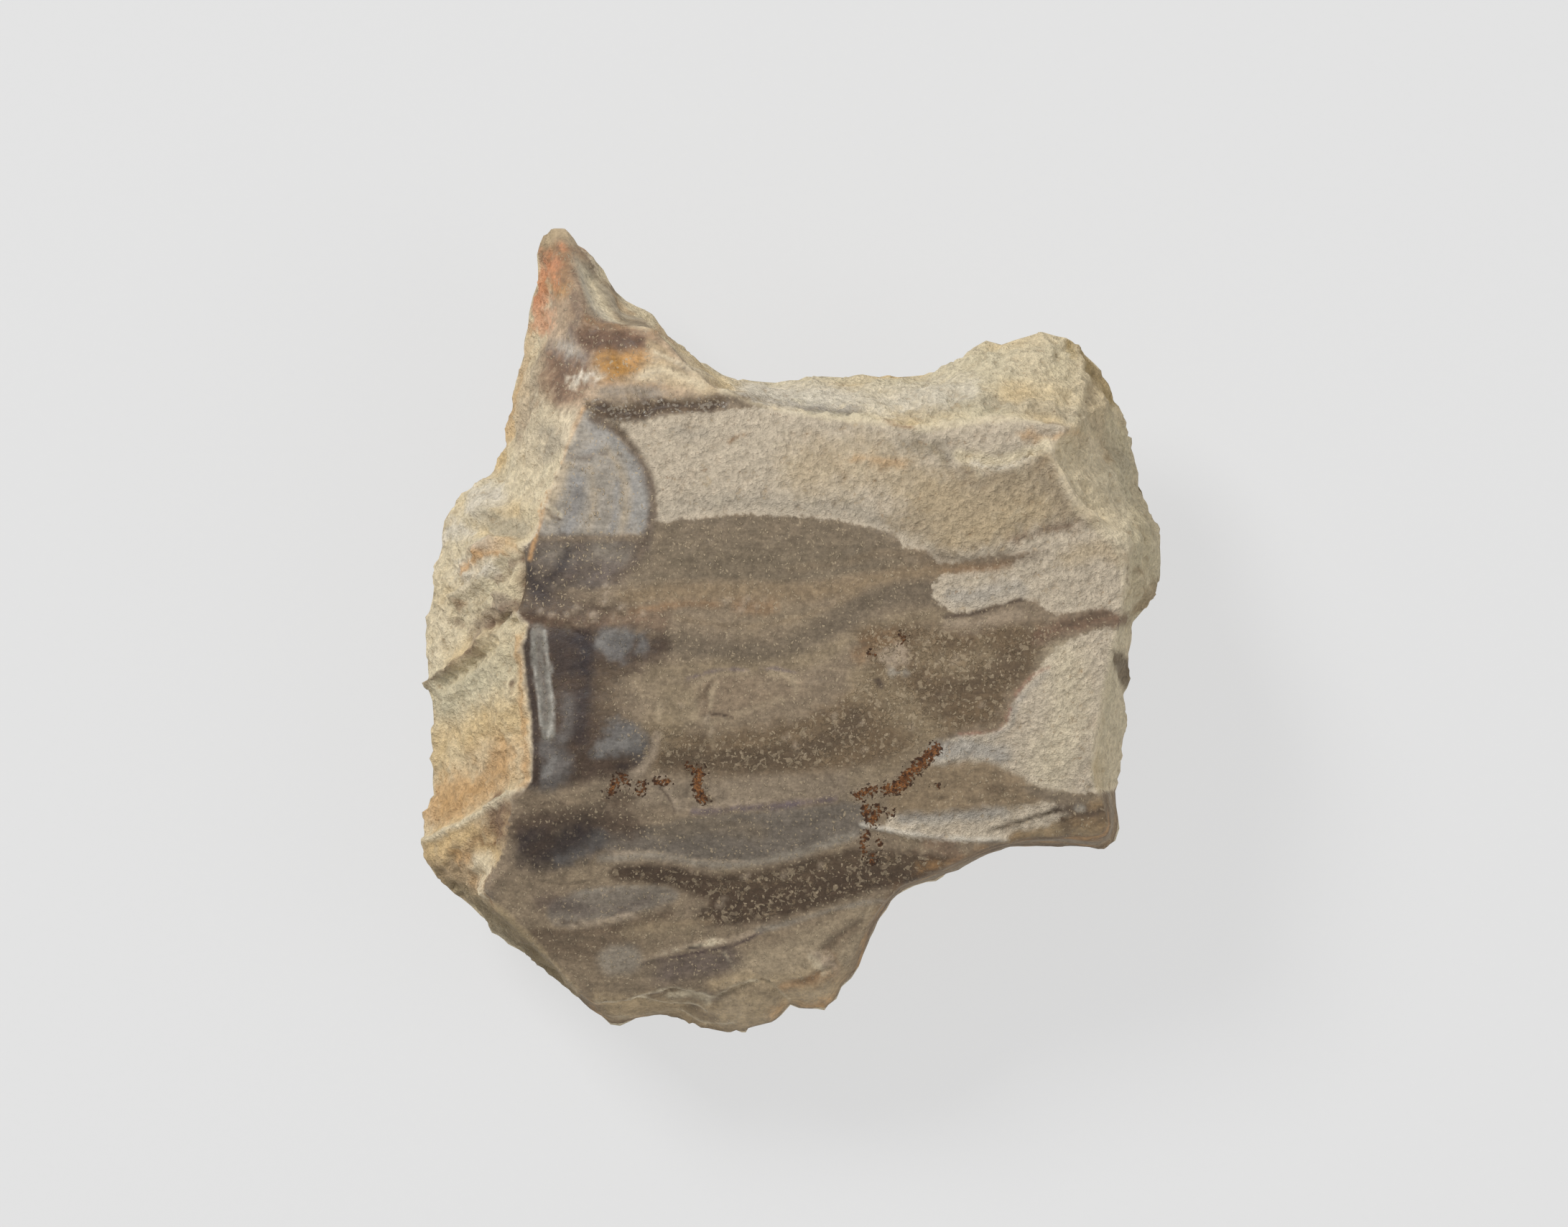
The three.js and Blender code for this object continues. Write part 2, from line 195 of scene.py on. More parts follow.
RUST = [
    (0.7, [(-22.3, -19.9), (-21.6, -18.9), (-20.8, -18.2)]),
    (0.45, [(-20.4, -18), (-20.2, -19)]),
    (0.55, [(-18.4, -18.8), (-18.2, -19.6), (-18.7, -20)]),
    (0.6, [(-16.4, -18.7), (-15.2, -18.7)]),
    (0.5, [(-12.7, -16.6), (-11.9, -17.2)]),
    (0.85, [(-11.2, -17.4), (-11.4, -18.6), (-11.3, -20), (-10.8, -20.8)]),
    (0.8, [(8.4, -20.4), (9.3, -20.1), (10.3, -19.6)]),
    (1.0, [(12, -19.6), (13.5, -19.2), (14.3, -18.2), (15.4, -17), (16.8, -15.8), (17.9, -14.6)]),
    (0.7, [(9.4, -21.8), (9.4, -22.6)]),
    (0.75, [(10.8, -22), (10.6, -22.8), (10.1, -23.6)]),
    (0.5, [(9.4, -25), (9, -26.4), (9.2, -27.6)]),
    (0.55, [(10.2, -28), (10, -28.6)]),
    (0.4, [(11.1, -25.8), (11, -26.6)]),
    (0.4, [(12.5, -22.4), (12.3, -22.8)]),
    (0.45, [(13.9, -0.6), (13.7, -1.4)]),
    (0.4, [(9.9, -2.9), (10.5, -3.1)]),
    (0.3, [(18, -19.2), (18.6, -19.4)]),
]

# The grey-brown flint of the middle, from the chalk down to the lower bands.
MIDDLE_PAINT = [
    patch("lens", LENS, soft=0.45, ragged=0.3),
    stroke("lens_core", 1.4, [(-14, 9), (-5, 8.7), (3, 8.9), (9, 9.3)], soft=1.4, strength=0.6),
    stroke("tan", 0.4, [(0, 7.6), (6, 8.3), (11, 9.4), (16, 9.4)], soft=0.6, strength=0.4),
    stroke("tan", 1.1, [(-20, 4.2), (-12, 4.8), (-4, 4.7), (3, 4.8), (10, 6), (18, 7.4), (22, 8.4)], 1),
    stroke("light_brown", 0.35, [(-19.5, 2.3), (-15.3, 3), (-11.5, 3.3), (-8.8, 3.2)], 0.5, 0.4, 0.7),
    stroke("light_brown", 0.9, [(-6.4, 3), (-2.4, 2.9)], 0.7, 0.6, 0.6),
    stroke("grey_band", 1.5, [
        (-15, -1.6), (-10, -2.3), (-6, -3.1), (-1, -2.4), (4, 0), (8, 2.6), (12, 4.3), (16, 4.9),
        (18.5, 4.5),
    ], soft=1.1),
    stroke("light_band", 0.9, [
        (-17, -5), (-10, -4.6), (-3, -4.7), (2, -3.6), (6, -2), (10, 0.2), (14, 1.3), (18.5, 1.6),
    ], soft=0.9, strength=0.8),
    patch("olive", SPECKLED, soft=1.3, ragged=1.2),
    stroke("deep_olive", 1.6, [(-14, -15.7), (-6, -16), (0, -15.4), (5, -13.3), (8, -11.3)], 1.3, 1, 0.9),
    stroke("deep_olive", 1.5, [(17, -9), (20, -7.5), (24, -6), (28, -4.5)], 1.5, 1.2, 0.5),
    stroke("deep_olive", 0.9, [(26.4, -3.4), (30, -1.8), (33, -0.6)], 0.9, 0.9, 0.5),
    stroke("pale_olive", 2.2, [(9.5, -6.5), (12, -7.5), (14, -10), (17, -12.5)], 1.6, 1.6, 0.55),
    stroke("pale_olive", 1.4, [(17, -3), (20, -4.4), (24, -3)], 1.3, 1.5, 0.4),
    stroke("light_brown", 1.0, [(8.5, -2.8), (10.5, -1.5), (12.5, -1)], 1.0, 0.9, 0.5),
    patch("rose", [
        (10.6, -2.6), (12.6, -1.8), (14.2, -2), (14.6, -3.6), (13.2, -4.6), (11.2, -4.2),
    ], 0.5, 0.9, 0.8),
    stroke("chalk_grey", 0.4, [(12.4, -5.2), (14.2, -5.2)], 0.4, 0.8, 0.8),
    stroke("umber", 0.4, [(10.9, -6.2), (11.2, -6.7)], 0.3, 0.5, 0.8),
    patch("pink", [
        (-13.6, -8.6), (-12, -6.6), (-8, -5.4), (-2, -5.2), (1, -6), (1.4, -7.4), (-1, -8.6),
        (-6, -10.4), (-11, -11),
    ], 0.9, 0.9, 0.8),
    stroke("chalk_shade", 0.6, [(-12.6, -8), (-12.2, -9.4), (-11.8, -10.4)], 0.6, 0.8, 0.6),
    stroke("chalk_shade", 0.5, [(-2.4, -5.3), (0, -5.6), (0.6, -7)], 0.5, 0.5, 0.7),
    stroke("chalk_shade", 0.4, [(-11.6, -6.6), (-9, -5.4), (-5, -5.2)], 0.5, 0.5, 0.5),
    stroke("flint", 0.8, [(-3.6, -6.4), (-1.4, -6.6)], 0.6, 0.3, 0.7),
    stroke("smoke", 0.3, [(-9.6, -6.6), (-10.4, -7.6), (-10.6, -9.4)], 0.3, 0.6, 0.7),
    stroke("chalk_shade", 0.22, [(-9, -6.4), (-9.7, -7.8), (-9.9, -9.6)], 0.25, 0.6, 0.7),
    stroke("chalk_shade", 0.25, [(-12.8, -10.6), (-9.6, -11), (-5.4, -9.9), (-1, -8.4)], 0.4, 0.5, 0.5),
    stroke("umber", 0.14, [(-9.8, -10.3), (-8.4, -10.4), (-7.1, -10.7)], 0.2, 0.2),
    stroke("mauve", 0.14, [(-12.6, -6), (-9.6, -5), (-6, -4.8), (-2, -4.7), (0.6, -5.2)], 0.2, 0.3, 0.6),
    stroke("tan", 0.25, [(-14, 1.6), (-8, 0.6), (-2, 0.9), (4, 2.6), (9, 5)], 0.5, 0.4, 0.6),
    stroke("lens_core", 0.2, [(-17, 6.8), (-8, 6.9), (0, 6.6), (7, 7.3), (13, 8.6)], 0.4, 0.4, 0.6),
    stroke("tan", 0.3, [(-16, -14), (-8, -14.2), (0, -13.4), (6, -11)], 0.5, 0.6, 0.5),
    stroke("pale_olive", 2.2, [(-13.5, -8.5), (-15.5, -12)], 1.6, 0.8, 0.5),
    stroke("chalk_shade", 0.35, [(-16.1, -9), (-16.3, -11)], 0.3, 0.5, 0.7),
    stroke("chalk_shade", 0.45, [(-10.2, -11.4), (-9.8, -12.4), (-9.5, -14.6)], 0.5, 0.7, 0.4),
]

# The dark panel along the left ridge, and the blue-grey patches beside it.
PANEL_PAINT = [
    patch("umber", [
        (-33.5, 1.2), (-29, 1.2), (-24.5, 0.9), (-18, 0.3), (-15, -1.5), (-16.5, -4),
        (-21, -5.4), (-22.6, -7), (-22.4, -10), (-20, -13), (-18.4, -16.4), (-20, -18),
        (-24, -19), (-28, -19.6), (-33.5, -19.8),
    ], 1.5, 1.0),
    stroke("deep_olive", 2, [(-22.6, -6), (-22.4, -10), (-20, -14)], 1.8, 1.2, 0.7),
    stroke("ink", 1.5, [(-28.6, -0.2), (-28, -4.2)], 1.2, 0.8, 0.5),
    stroke("ink", 1.1, [(-25.8, -1), (-25.2, -2.8), (-25.6, -4.8)], 0.9, 0.8, 0.9),
    stroke("ink", 0.9, [(-25.4, -7.4), (-25.8, -10), (-26, -13)], 0.9, 0.5, 0.7),
    stroke("blue", 0.7, [(-27.3, -8.8), (-27.5, -11), (-28, -13)], 0.7, 0.6, 0.55),
    stroke("blue", 1.7, [(-29.6, -14.8), (-28.6, -17), (-30, -18.6)], 1.1, 1.2, 0.7),
    stroke("blue_edge", 0.4, [(-29.2, -16), (-30, -17.6)], 0.4, 0.6, 0.6),
    stroke("grey_streak", 0.8, [
        (-31.2, 0.2), (-31.3, -1.5), (-31.3, -3.6), (-30.9, -4.8), (-30.6, -6.4), (-30.3, -9),
        (-30, -11.5), (-29.8, -12.8),
    ], 0.25, 0.25),
    stroke("grey_streak", 0.7, [(-31.7, -0.7), (-31.8, -1.3)], 0.2, 0.1),
    stroke("grey_streak", 0.55, [(-31.8, -3), (-31.9, -3.6)], 0.2, 0.1),
    stroke("pale_streak", 0.14, [
        (-31.9, 0.3), (-32.1, -0.8), (-31.8, -1.8), (-32.3, -3), (-32, -4.2), (-31.5, -5),
        (-31.6, -6.2), (-31.1, -7.6), (-31, -9.6), (-30.7, -11.6),
    ], 0.2, 0.1, 0.8),
    stroke("violet_grey", 0.2, [(-31, -0.6), (-31, -4), (-30.3, -7), (-30.2, -11)], 0.4, 0.3, 0.6),
    stroke("pale_streak", 0.18, [
        (-30.3, 0), (-30.1, -3), (-29.6, -4.8), (-29.8, -6), (-29.3, -9), (-29.4, -11.5),
        (-29.9, -13),
    ], 0.25, 0.1, 0.9),
    # A dark line along the crust's edge, where it stands above the panel: painted shadow.
    stroke("painted_shadow_line", 0.5, [
        (-32.5, 0.4), (-32.5, -3), (-32.2, -6), (-31.9, -9), (-31.6, -13), (-31.4, -19),
    ], 0.3, 0.2),
    patch("blue", [
        (-23.4, -0.4), (-21, 0.2), (-18.2, -0.2), (-17, -1.4), (-17.6, -3), (-19.5, -3),
        (-20.5, -3.8), (-22.5, -3.4), (-23.6, -2),
    ], 0.8, 1.1, 0.9),
    stroke("blue_edge", 0.5, [(-23.2, -1.6), (-22.6, -0.4), (-20.5, -0.2)], 0.6, 0.8, 0.5),
    stroke("umber", 0.3, [(-18.9, -1.2), (-19.3, -2.2), (-20.2, -3.4)], 0.4, 0.3, 0.8),
    patch("blue", [
        (-23.4, -13.5), (-22.2, -11.4), (-20.6, -11), (-19, -12), (-17.5, -13),
        (-17.4, -14.4), (-18.6, -16), (-20, -15.8), (-22.5, -15.5), (-24, -15.6),
    ], 0.8, 1.1, 0.9),
    stroke("blue_edge", 0.8, [(-23, -14.4), (-20.8, -13.8), (-19.4, -14)], 0.7, 0.9, 0.45),
    stroke("ink", 0.5, [(-19.4, -15.4), (-18.4, -16.4), (-21, -16.8)], 0.6, 0.5, 0.6),
    stroke("rose", 0.5, [(-16.5, -12.8), (-16.8, -14.8), (-18, -16.8), (-19.5, -17.9)], 0.5, 0.4, 0.8),
    stroke("brown", 0.8, [(-34, 1.6), (-28, 1.4), (-22, 1.6), (-16, 1.4)], 1.1, 0.8, 0.6),
    patch("umber", [
        (-33.4, 7), (-31, 6.6), (-27.6, 5), (-24.5, 3.8), (-20, 3), (-26, 1.6), (-34, 1.8),
    ], 1.3, 1.0, 0.75),
]

# The fan inside the dark arc, at the foot of the horn.
FAN_PAINT = [
    patch("fan", [
        (-27.8, 23), (-25.6, 27.2), (-24, 26.4), (-21.4, 24.4), (-19.3, 22), (-17.9, 19.5),
        (-17.2, 17), (-17.2, 14.9), (-17.7, 12.6), (-19, 11.9), (-27, 11.7), (-31.2, 11.7),
        (-30.2, 15.5), (-29, 19.5),
    ], 0.4, 0.4),
    stroke("chalk_warm", 0.7, [(-30, 14.4), (-29, 17.5), (-28, 20.4)], 0.8, 0.4, 0.6),
    stroke("vein_blue", 0.7, [(-26.2, 18.6), (-26.4, 16), (-27, 13.6), (-27.8, 11.8)], 0.9, 0.6, 0.8),
    stroke("umber", 0.4, [(-26.2, 17.2), (-26.8, 14.6)], 0.7, 0.8, 0.3),
    stroke("vein_blue", 0.22, [(-21.4, 18), (-21.5, 15), (-22.2, 12)], 0.5, 0.4, 0.7),
    stroke("vein_blue", 0.8, [(-24.6, 25.4), (-23.6, 23.6), (-25, 22)], 0.9, 0.8, 0.5),
    stroke("smoke", 0.22, [(-27, 21.6), (-25, 21.3), (-23.2, 21.7), (-21.6, 21.5)], 0.4, 0.9, 0.7),
    stroke("vein_blue", 0.25, [(-20, 20.6), (-19.2, 17.6), (-19.2, 14.6), (-19.8, 12.2)], 0.4, 0.3, 0.7),
    stroke("chalk_shade", 0.3, [(-22.6, 22.4), (-20.6, 19), (-20.3, 15.4), (-20.8, 12.2)], 0.4, 0.3, 0.5),
    stroke("chalk_shade", 0.35, [(-24.6, 20), (-24.2, 16), (-24.8, 12.4)], 0.6, 0.4, 0.5),
    stroke("arc_halo", 0.9, [
        (-22.4, 24.4), (-19.9, 21.9), (-18.5, 19.4), (-17.9, 17), (-17.9, 14.8), (-18.2, 12.8),
    ], 0.8, 0.5, 0.8),
    patch("fan_low", [
        (-31.4, 11.5), (-18, 11.5), (-18.6, 9.4), (-19.9, 7.4), (-21.6, 6), (-25, 5), (-31, 5.4),
        (-33, 8.5),
    ], 0.5, 0.6),
    stroke("chalk_grey", 0.9, [(-29.4, 9.8), (-26.6, 9.2)], 1.2, 1, 0.3),
    stroke("chalk_grey", 1.2, [(-23.6, 10), (-21, 9.2)], 1.4, 1, 0.4),
    stroke("violet", 0.5, [(-26, 10.4), (-26.4, 8), (-27.4, 6.4)], 0.6, 0.9, 0.5),
    stroke("violet_grey", 1.2, [(-24, 7), (-21.6, 7.4)], 1, 0.8, 0.6),
    stroke("ink", 0.55, [(-27.4, 9.8), (-28, 8.4), (-29.2, 6.8), (-30.2, 6.2)], 0.8, 0.5, 0.8),
    stroke("ink", 0.9, [(-32.4, 7.2), (-31.6, 5.6), (-30.4, 4.4)], 0.9, 0.7, 0.8),
    stroke("tan", 0.3, [(-31, 11.4), (-25, 11.3), (-19, 11.4)], 0.5, 0.4, 0.5),
    stroke("ochre", 0.22, [
        (-25.5, 27.7), (-27, 24.5), (-28.1, 21.7), (-29.2, 19), (-30.1, 16.3), (-31, 13.3),
        (-31.6, 11.1), (-32.2, 8.9),
    ], 0.3, 0.1, 0.9),
    stroke("cream", 0.3, [
        (-28.9, 21.4), (-30, 18.6), (-30.9, 15.8), (-31.8, 12.9), (-32.4, 11.4),
    ], 0.3, 0.1, 0.8),
    stroke("umber", 0.25, [(-29, 20.2), (-28.4, 20.1)], 0.25, 0.1, 0.8),
    stroke("smoke", 0.12, [(-30, 15), (-29.4, 14.2), (-28.4, 13.7)], 0.2, 0.1, 0.9),
    stroke("cream", 0.2, [(-29.9, 15.3), (-29, 14.9), (-28.3, 14.2)], 0.2, 0.1, 0.6),
]

# Chalk, with the stains and bands in it, and painted light and shade on its ledge, ridges and slopes.
CHALK_PAINT = [
    stroke("chalk_grey", 0.9, [(-15.5, 15), (-8, 16), (0, 15.8), (8, 14.8), (13, 12.6)], 1.1, 0.9, 0.45),
    stroke("chalk_grey", 1.1, [(13.6, 22.8), (16.5, 22.8), (19.2, 21.6)], 1.2, 1.8, 0.6),
    stroke("moss", 0.6, [(15.4, 23.4), (17.6, 22.4), (18.6, 21.6)], 0.8, 1.8, 0.5),
    stroke("smoke", 0.25, [(13.5, 14.2), (14.1, 13.8)], 0.4, 0.7, 0.8),
    stroke("smoke", 0.2, [(17.4, 18), (18, 17.7)], 0.4, 0.6, 0.7),
    stroke("smoke", 0.2, [(35.2, 20), (35.6, 19.8)], 0.3, 0.4, 0.8),
    stroke("smoke", 0.2, [(5, 20.6), (5.6, 20.4)], 0.3, 0.4, 0.4),
    # A thin dark line just under the ledge: painted shadow.
    stroke("smoke", 0.4, [(20, 19.7), (24, 19), (28, 19.7)], 0.6, 0.6, 0.45),
    stroke("chalk_grey", 0.8, [(25.5, 20.4), (28, 20.6)], 0.7, 0.8, 0.7),
    # Darker chalk on the slope left of the right-hand ridge, which faces away from the light: painted shade.
    patch("chalk_shade", [
        (14, 16), (18, 19.4), (24, 19.4), (29, 20.4), (31.6, 21.4), (33.4, 17.6), (36, 13.8),
        (30, 12.2), (24, 10.4), (18, 10.4), (12, 13),
    ], 1.6, 1.6, 0.8),
    stroke("chalk_grey", 0.8, [(-14, 24.6), (-11, 24.2)], 0.9, 0.9, 0.5),
    stroke("chalk_warm", 3, [(2, 20), (10, 20.5), (16, 18), (22, 14), (28, 15.5)], 2.5, 2, 0.6),
    stroke("chalk_warm", 1.4, [(20, 11), (26, 13), (31, 15)], 1.4, 1.2, 0.6),
    stroke("ochre", 0.5, [(8, 21.4), (11, 20.8), (14, 20.6)], 0.6, 1, 0.4),
    stroke("light_brown", 0.2, [(-7.6, 23.2), (-6.4, 24), (-5, 24.5)], 0.25, 0.4, 0.9),
    stroke("ochre", 0.5, [(29.5, 24), (31.4, 23.4), (33.4, 23.8)], 0.9, 1.6, 0.6),
    # The ledge's slab: a paler top and a pale edge, painted light, and darker chalk under it, painted shade.
    stroke("cream", 0.9, [(21, 21.6), (24.4, 20.8), (27, 21.1), (30, 22), (31.8, 23)], 0.6, 0.5, 1.0),
    stroke("white", 0.35, [(22.4, 20.8), (24.4, 20.2), (27, 20.3), (29.6, 21.5)], 0.4, 0.4, 0.8),
    stroke("chalk_shade", 0.9, [
        (21, 19.4), (24.4, 18.4), (27, 18.8), (30, 20.2), (31.4, 20.6),
    ], 0.9, 0.6, 0.7),
    # A pale line along the crest of the ridge: painted highlight.
    stroke("cream", 0.3, [
        (-9, 29.8), (-4, 28), (2, 26.6), (7, 25.9), (12, 25.5), (16, 24.8), (20, 25.2), (26, 26),
        (31, 25.8),
    ], 0.4, 0.3, 0.7),
    stroke("smoke", 0.55, [
        (16, 8.9), (20, 8), (24, 8.3), (28, 8.8), (30.6, 9.6), (31.2, 10),
    ], 0.8, 0.8, 0.55),
    stroke("grey_band", 0.5, [(17, 9.8), (22, 9), (27, 9.6)], 0.8, 0.8, 0.6),
    stroke("light_brown", 0.4, [(19, 7.4), (24, 7.6), (27, 8)], 0.6, 0.6, 0.5),
    stroke("brown", 0.45, [(27.5, 11.2), (31, 12.3), (34.5, 13), (37.4, 13.8)], 0.8, 0.8, 0.7),
    # Darker chalk just left of the right-hand ridge: painted shade.
    stroke("chalk_shade", 0.7, [(31.2, 21), (33, 17.4), (34.8, 14.4)], 0.8, 0.3, 0.7),
    stroke("chalk_blue", 0.9, [(20, 4.2), (24, 4.6), (28, 5.6)], 0.9, 0.9, 0.5),
    stroke("chalk_warm", 1, [(34, 9), (38, 10), (40.5, 9)], 1, 0.8, 0.6),
    stroke("rose", 0.8, [(19.6, 0.9), (23, 0.9), (28, 2)], 0.8, 0.9, 0.5),
    stroke("umber", 0.22, [(19, 1.7), (22, 1.95), (25, 2.75), (28.4, 3.8)], 0.3, 0.25, 0.9),
    stroke("brown", 0.9, [(31, -0.8), (34, 0.4), (37, 1.2), (41, 1.5)], 0.8, 0.9, 0.9),
    stroke("smoke", 0.5, [(34, 0.8), (37, 1.7), (39, 1.9)], 0.5, 0.6, 0.7),
    stroke("chalk_blue", 1.1, [(18.4, -15), (22, -14.4), (26, -15.4)], 1, 0.9, 0.7),
    # A paler stroke on the near chalk's slope, which gets less light: painted light.
    stroke("cream", 2.4, [(34, -4), (34.6, -9), (33.6, -13), (32, -17)], 2.4, 1, 0.6),
    stroke("red", 0.13, [
        (32, -4.5), (30, -5.6), (28.3, -7.4), (27.3, -8.9), (26.8, -10.8), (25.5, -12.3),
        (21, -12.8),
    ], 0.25, 0.3, 0.5),
    stroke("arc_halo", 0.25, [
        (31.6, -5.2), (29.2, -7.4), (27.8, -9.4), (27.2, -11.6), (24.5, -13.2),
    ], 0.5, 0.4, 0.5),
    patch("olive_glass", [
        (15, -17.6), (19, -16.6), (24, -16.2), (27, -17.2), (30, -19), (31, -21), (22, -22.6),
        (14, -23), (12, -20.5),
    ], 0.6, 0.6),
    stroke("deep_olive", 0.5, [(24.6, -19.4), (26.4, -19.8)], 0.6, 0.7, 0.7),
    stroke("grey_band", 0.6, [(29.5, -19.6), (32.5, -20.6), (36.4, -21.8)], 0.5, 0.7, 0.9),
    stroke("chalk_blue", 0.6, [(14, -23.4), (20, -23), (26, -22.4)], 0.7, 0.7, 0.6),
    stroke("grey_band", 0.2, [(24.6, -24.9), (28, -23.9), (31, -22.8), (33.5, -22.2)], 0.3, 0.3, 0.8),
    stroke("white", 0.25, [(9, -24), (14, -24.8), (20, -25.6), (27, -25.8)], 0.3, 0.3, 0.8),
    patch("earth", [
        (27, -25.4), (33, -23.8), (36, -22), (38.5, -20.7), (41.4, -21), (41.2, -27.8),
        (26, -27.6),
    ], 0.5, 0.7),
    stroke("pale_olive", 0.6, [(30, -25.4), (34, -24.6), (38, -25.2)], 0.6, 1.4, 0.6),
    stroke("smoke", 0.8, [(34.5, -24), (37.5, -23), (39.6, -23)], 0.9, 1.6, 0.6),
    stroke("umber", 0.4, [(33, -22), (36, -22.6), (38.4, -22)], 0.5, 1.4, 0.7),
    stroke("umber", 0.5, [(37, -26), (39.6, -25.2), (40.6, -22)], 0.8, 1.6, 0.5),
]
